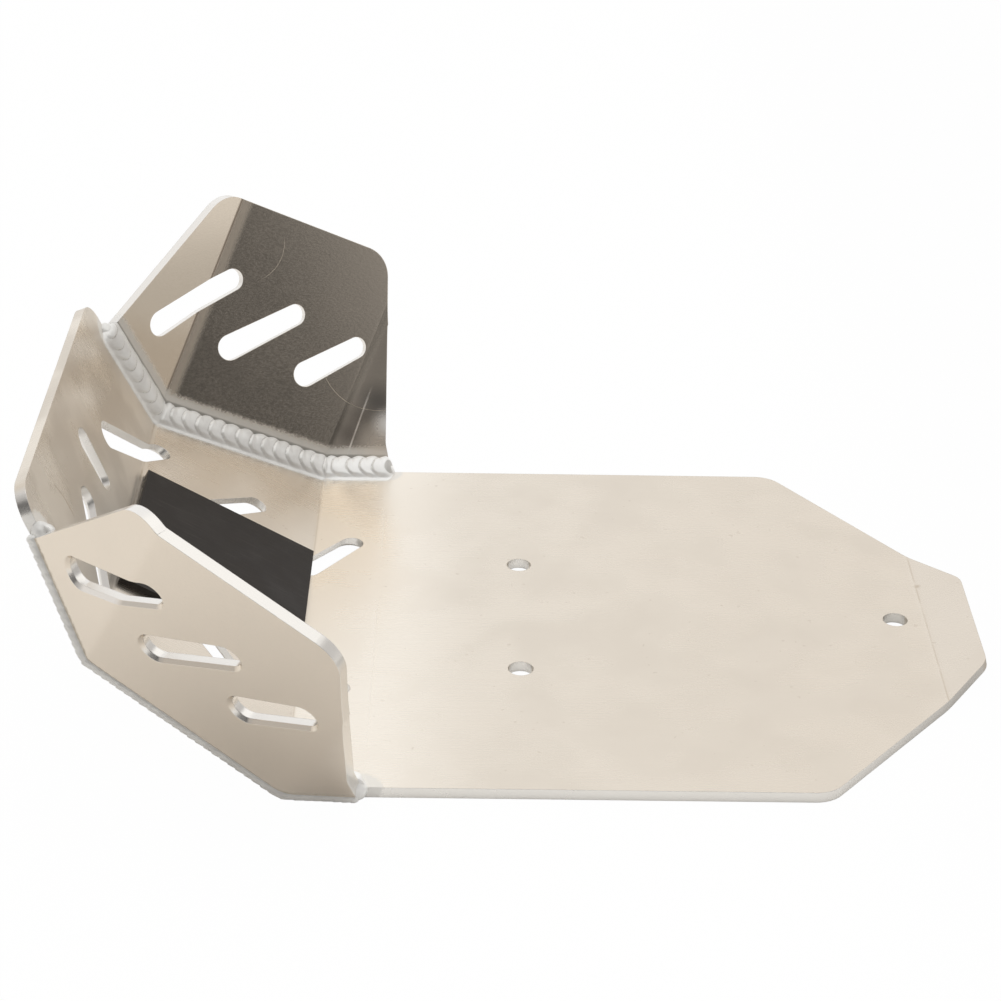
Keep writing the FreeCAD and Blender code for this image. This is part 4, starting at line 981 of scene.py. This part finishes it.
def inner_bead_form(side, seed):
    """The inner bead's mesh, with coins from the ramp's upper corner outwards."""
    seam = seams[side]
    corner_at = seam.stops[0][1]
    rearward = CoinRow(seam.length - corner_at, seed, 1.0)
    forward = CoinRow(corner_at, seed + 1, PANEL_COIN_HEIGHT)

    def coin(distance, across):
        past = distance - corner_at
        behind, ahead = rearward.at(past, across), forward.at(-past, across)
        share = smooth_step(past, -START_BLEND, START_BLEND)
        return ahead[0] + (behind[0] - ahead[0]) * share, behind[1] if share > 0.5 else ahead[1]

    def top(distance):
        """The round tops stand out on the ramp's run; on the panel's run they are washed flat."""
        past = distance - corner_at
        flat = WASHED_TOP + (1 - WASHED_TOP) * forward.top(-past)
        return flat + (rearward.top(past) - flat) * smooth_step(past, -START_BLEND, START_BLEND)

    def shape(u, v):
        """Across the bead: a low toe on the plate, the coins up to the wing, the buried back."""
        distance = -END_REACH + u * (seam.length + 2 * END_REACH)
        corner, _, on_plate, on_wing, plate_up, wing_in = seam.at(distance)
        end_share = rounded_end(distance, seam.length, END_REACH)
        wobble = noise.noise(Vector((distance / (9 * MM), seed, 0)))
        uneven = 1 + 0.05 * wobble
        reached = top(distance)
        foot = on_plate * PLATE_LEG * uneven
        head = on_wing * INNER_LEG * uneven * (0.2 + 0.8 * reached)
        if v > 1 - BURIED_SHARE:
            across = 1 - 2 * (v - 1 + BURIED_SHARE) / BURIED_SHARE
            reach = abs(across)
            point = (foot if across < 0 else head) * reach
            point -= (plate_up + wing_in) * BURIED_DEPTH * (1 - reach)
            return corner + point * end_share, MID_COIN
        step = foot * COIN_FOOT + plate_up * TOE_HEIGHT
        if v < TOE_SHARE:
            reach = v / TOE_SHARE
            point = foot.lerp(foot * COIN_FOOT, reach)
            point += plate_up * TOE_HEIGHT * smooth_step(reach, 0, 1)
            return corner + point * end_share, MID_COIN
        rise = (v - TOE_SHARE) / (1 - BURIED_SHARE - TOE_SHARE)
        across = 2 * rise - 1
        height, share = coin(distance, across * reached if across > 0 else across)
        on_coins = smooth_step(rise, 0.0, 0.2)
        bulge = (on_plate + on_wing).normalized()
        swell = 1 - across ** 2
        crown = INNER_SWELL * (swell if across > 0 else swell ** 1.6)
        crown += COIN_RELIEF * height * on_coins * (1 - max(across, 0.0) ** 8)
        # Along the wing the share is pushed to 1, so the bead's top edge gets the painted groove shadow
        # as a painted contact shadow.
        share = max(MID_COIN + (share - MID_COIN) * on_coins, smooth_step(rise, 0.90, 0.97))
        chord = step.lerp(head, rise) + bulge * crown
        return corner + chord * end_share, share

    return wrapped_grid(int(seam.length / INNER_STATION), INNER_ROWS, shape)


def nugget(form, place, radii, turn, seed):
    """A blob of filler that ends a weld: a ball squashed, turned and made a little uneven."""
    made = bmesh.ops.create_icosphere(form, subdivisions=4, radius=1.0)["verts"]
    for vert in made:
        uneven = 1 + 0.1 * noise.noise(vert.co * 1.6 + Vector((seed, 0, 0)))
        vert.co = place + turn @ Vector([c * r * uneven for c, r in zip(vert.co, radii)])
        vert[form.verts.layers.float["coin_share"]] = 0.4


def weld_piece(name, form, node_name):
    """Turns a finished form into the piece that stands for a solid weld."""
    floor_level = cad_box[0].z
    for vert in form.verts:
        vert.co.z = max(vert.co.z, floor_level + 0.02 * MM)
    mesh = bpy.data.meshes.new(name)
    form.to_mesh(mesh)
    form.free()
    mesh.shade_smooth()
    mesh.materials.append(weld_metal)
    piece = bpy.data.objects.new(name, mesh)
    bpy.context.scene.collection.objects.link(piece)
    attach(piece, "root")
    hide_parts(node_name)
    print(name, "has", len(mesh.polygons), "faces")


NUGGET_TURN = Quaternion((0, 1, 0), math.radians(-22)).to_matrix()
FRONT_NUGGET = (4.2 * MM, 4.2 * MM, 5.6 * MM)
REAR_NUGGET = (4.6 * MM, 4.8 * MM, 5.8 * MM)
for seed, side in ((3, "left"), (11, "right")):
    form = inner_bead_form(side, seed)
    nugget(form, seams[side].at(0)[0], FRONT_NUGGET, NUGGET_TURN, seed)
    nugget(form, seams[side].at(seams[side].length)[0], REAR_NUGGET, NUGGET_TURN, seed + 5)
    weld_piece(f"{side}_inner_bead", form, f"{side}_inner_weld")

# %% [markdown]
# Outside, the two sheets leave an open corner. A smaller bead of quicker, finer coins lies in it.

# %% Outer bead: a round bead along the open corner outside
OUTER_RADIUS = 2.7 * MM
OUTER_SINK = 0.6 * MM
OUTER_PITCH = 3.8 * MM
OUTER_BOW = OUTER_PITCH * 0.7
OUTER_RELIEF = 0.45 * MM
OUTER_STATION, OUTER_ROWS = 0.45 * MM, 24


def outer_bead_form(side, seed):
    """The outer bead's mesh: a tube whose coins show on the outer side and fade to its back."""
    seam = seams[side]
    row = CoinRow(seam.length, seed, 1.0, OUTER_PITCH, OUTER_BOW)

    def shape(u, v):
        distance = -END_REACH / 2 + u * (seam.length + END_REACH)
        corner, own, _, _, plate_up, wing_in = seam.at(distance)
        outward = -(plate_up + wing_in).normalized()
        across = own.cross(outward).normalized()
        turn = math.tau * v
        off_top = abs((v + 0.5) % 1.0 - 0.5) * 4.0
        shown = max(0.0, 1 - off_top / 1.5)
        height, share = row.at(distance, min(off_top, 1.0))
        centre = corner + outward * ((plate_up + wing_in).length * SHEET / 2 - OUTER_SINK)
        radius = OUTER_RADIUS + OUTER_RELIEF * height * shown
        radius *= rounded_end(distance, seam.length, END_REACH / 2)
        share = MID_COIN + (share - MID_COIN) * shown
        return centre + (outward * math.cos(turn) + across * math.sin(turn)) * radius, share

    return wrapped_grid(int(seam.length / OUTER_STATION), OUTER_ROWS, shape)


for seed, side in ((23, "left"), (31, "right")):
    weld_piece(f"{side}_outer_bead", outer_bead_form(side, seed), f"{side}_outer_weld")
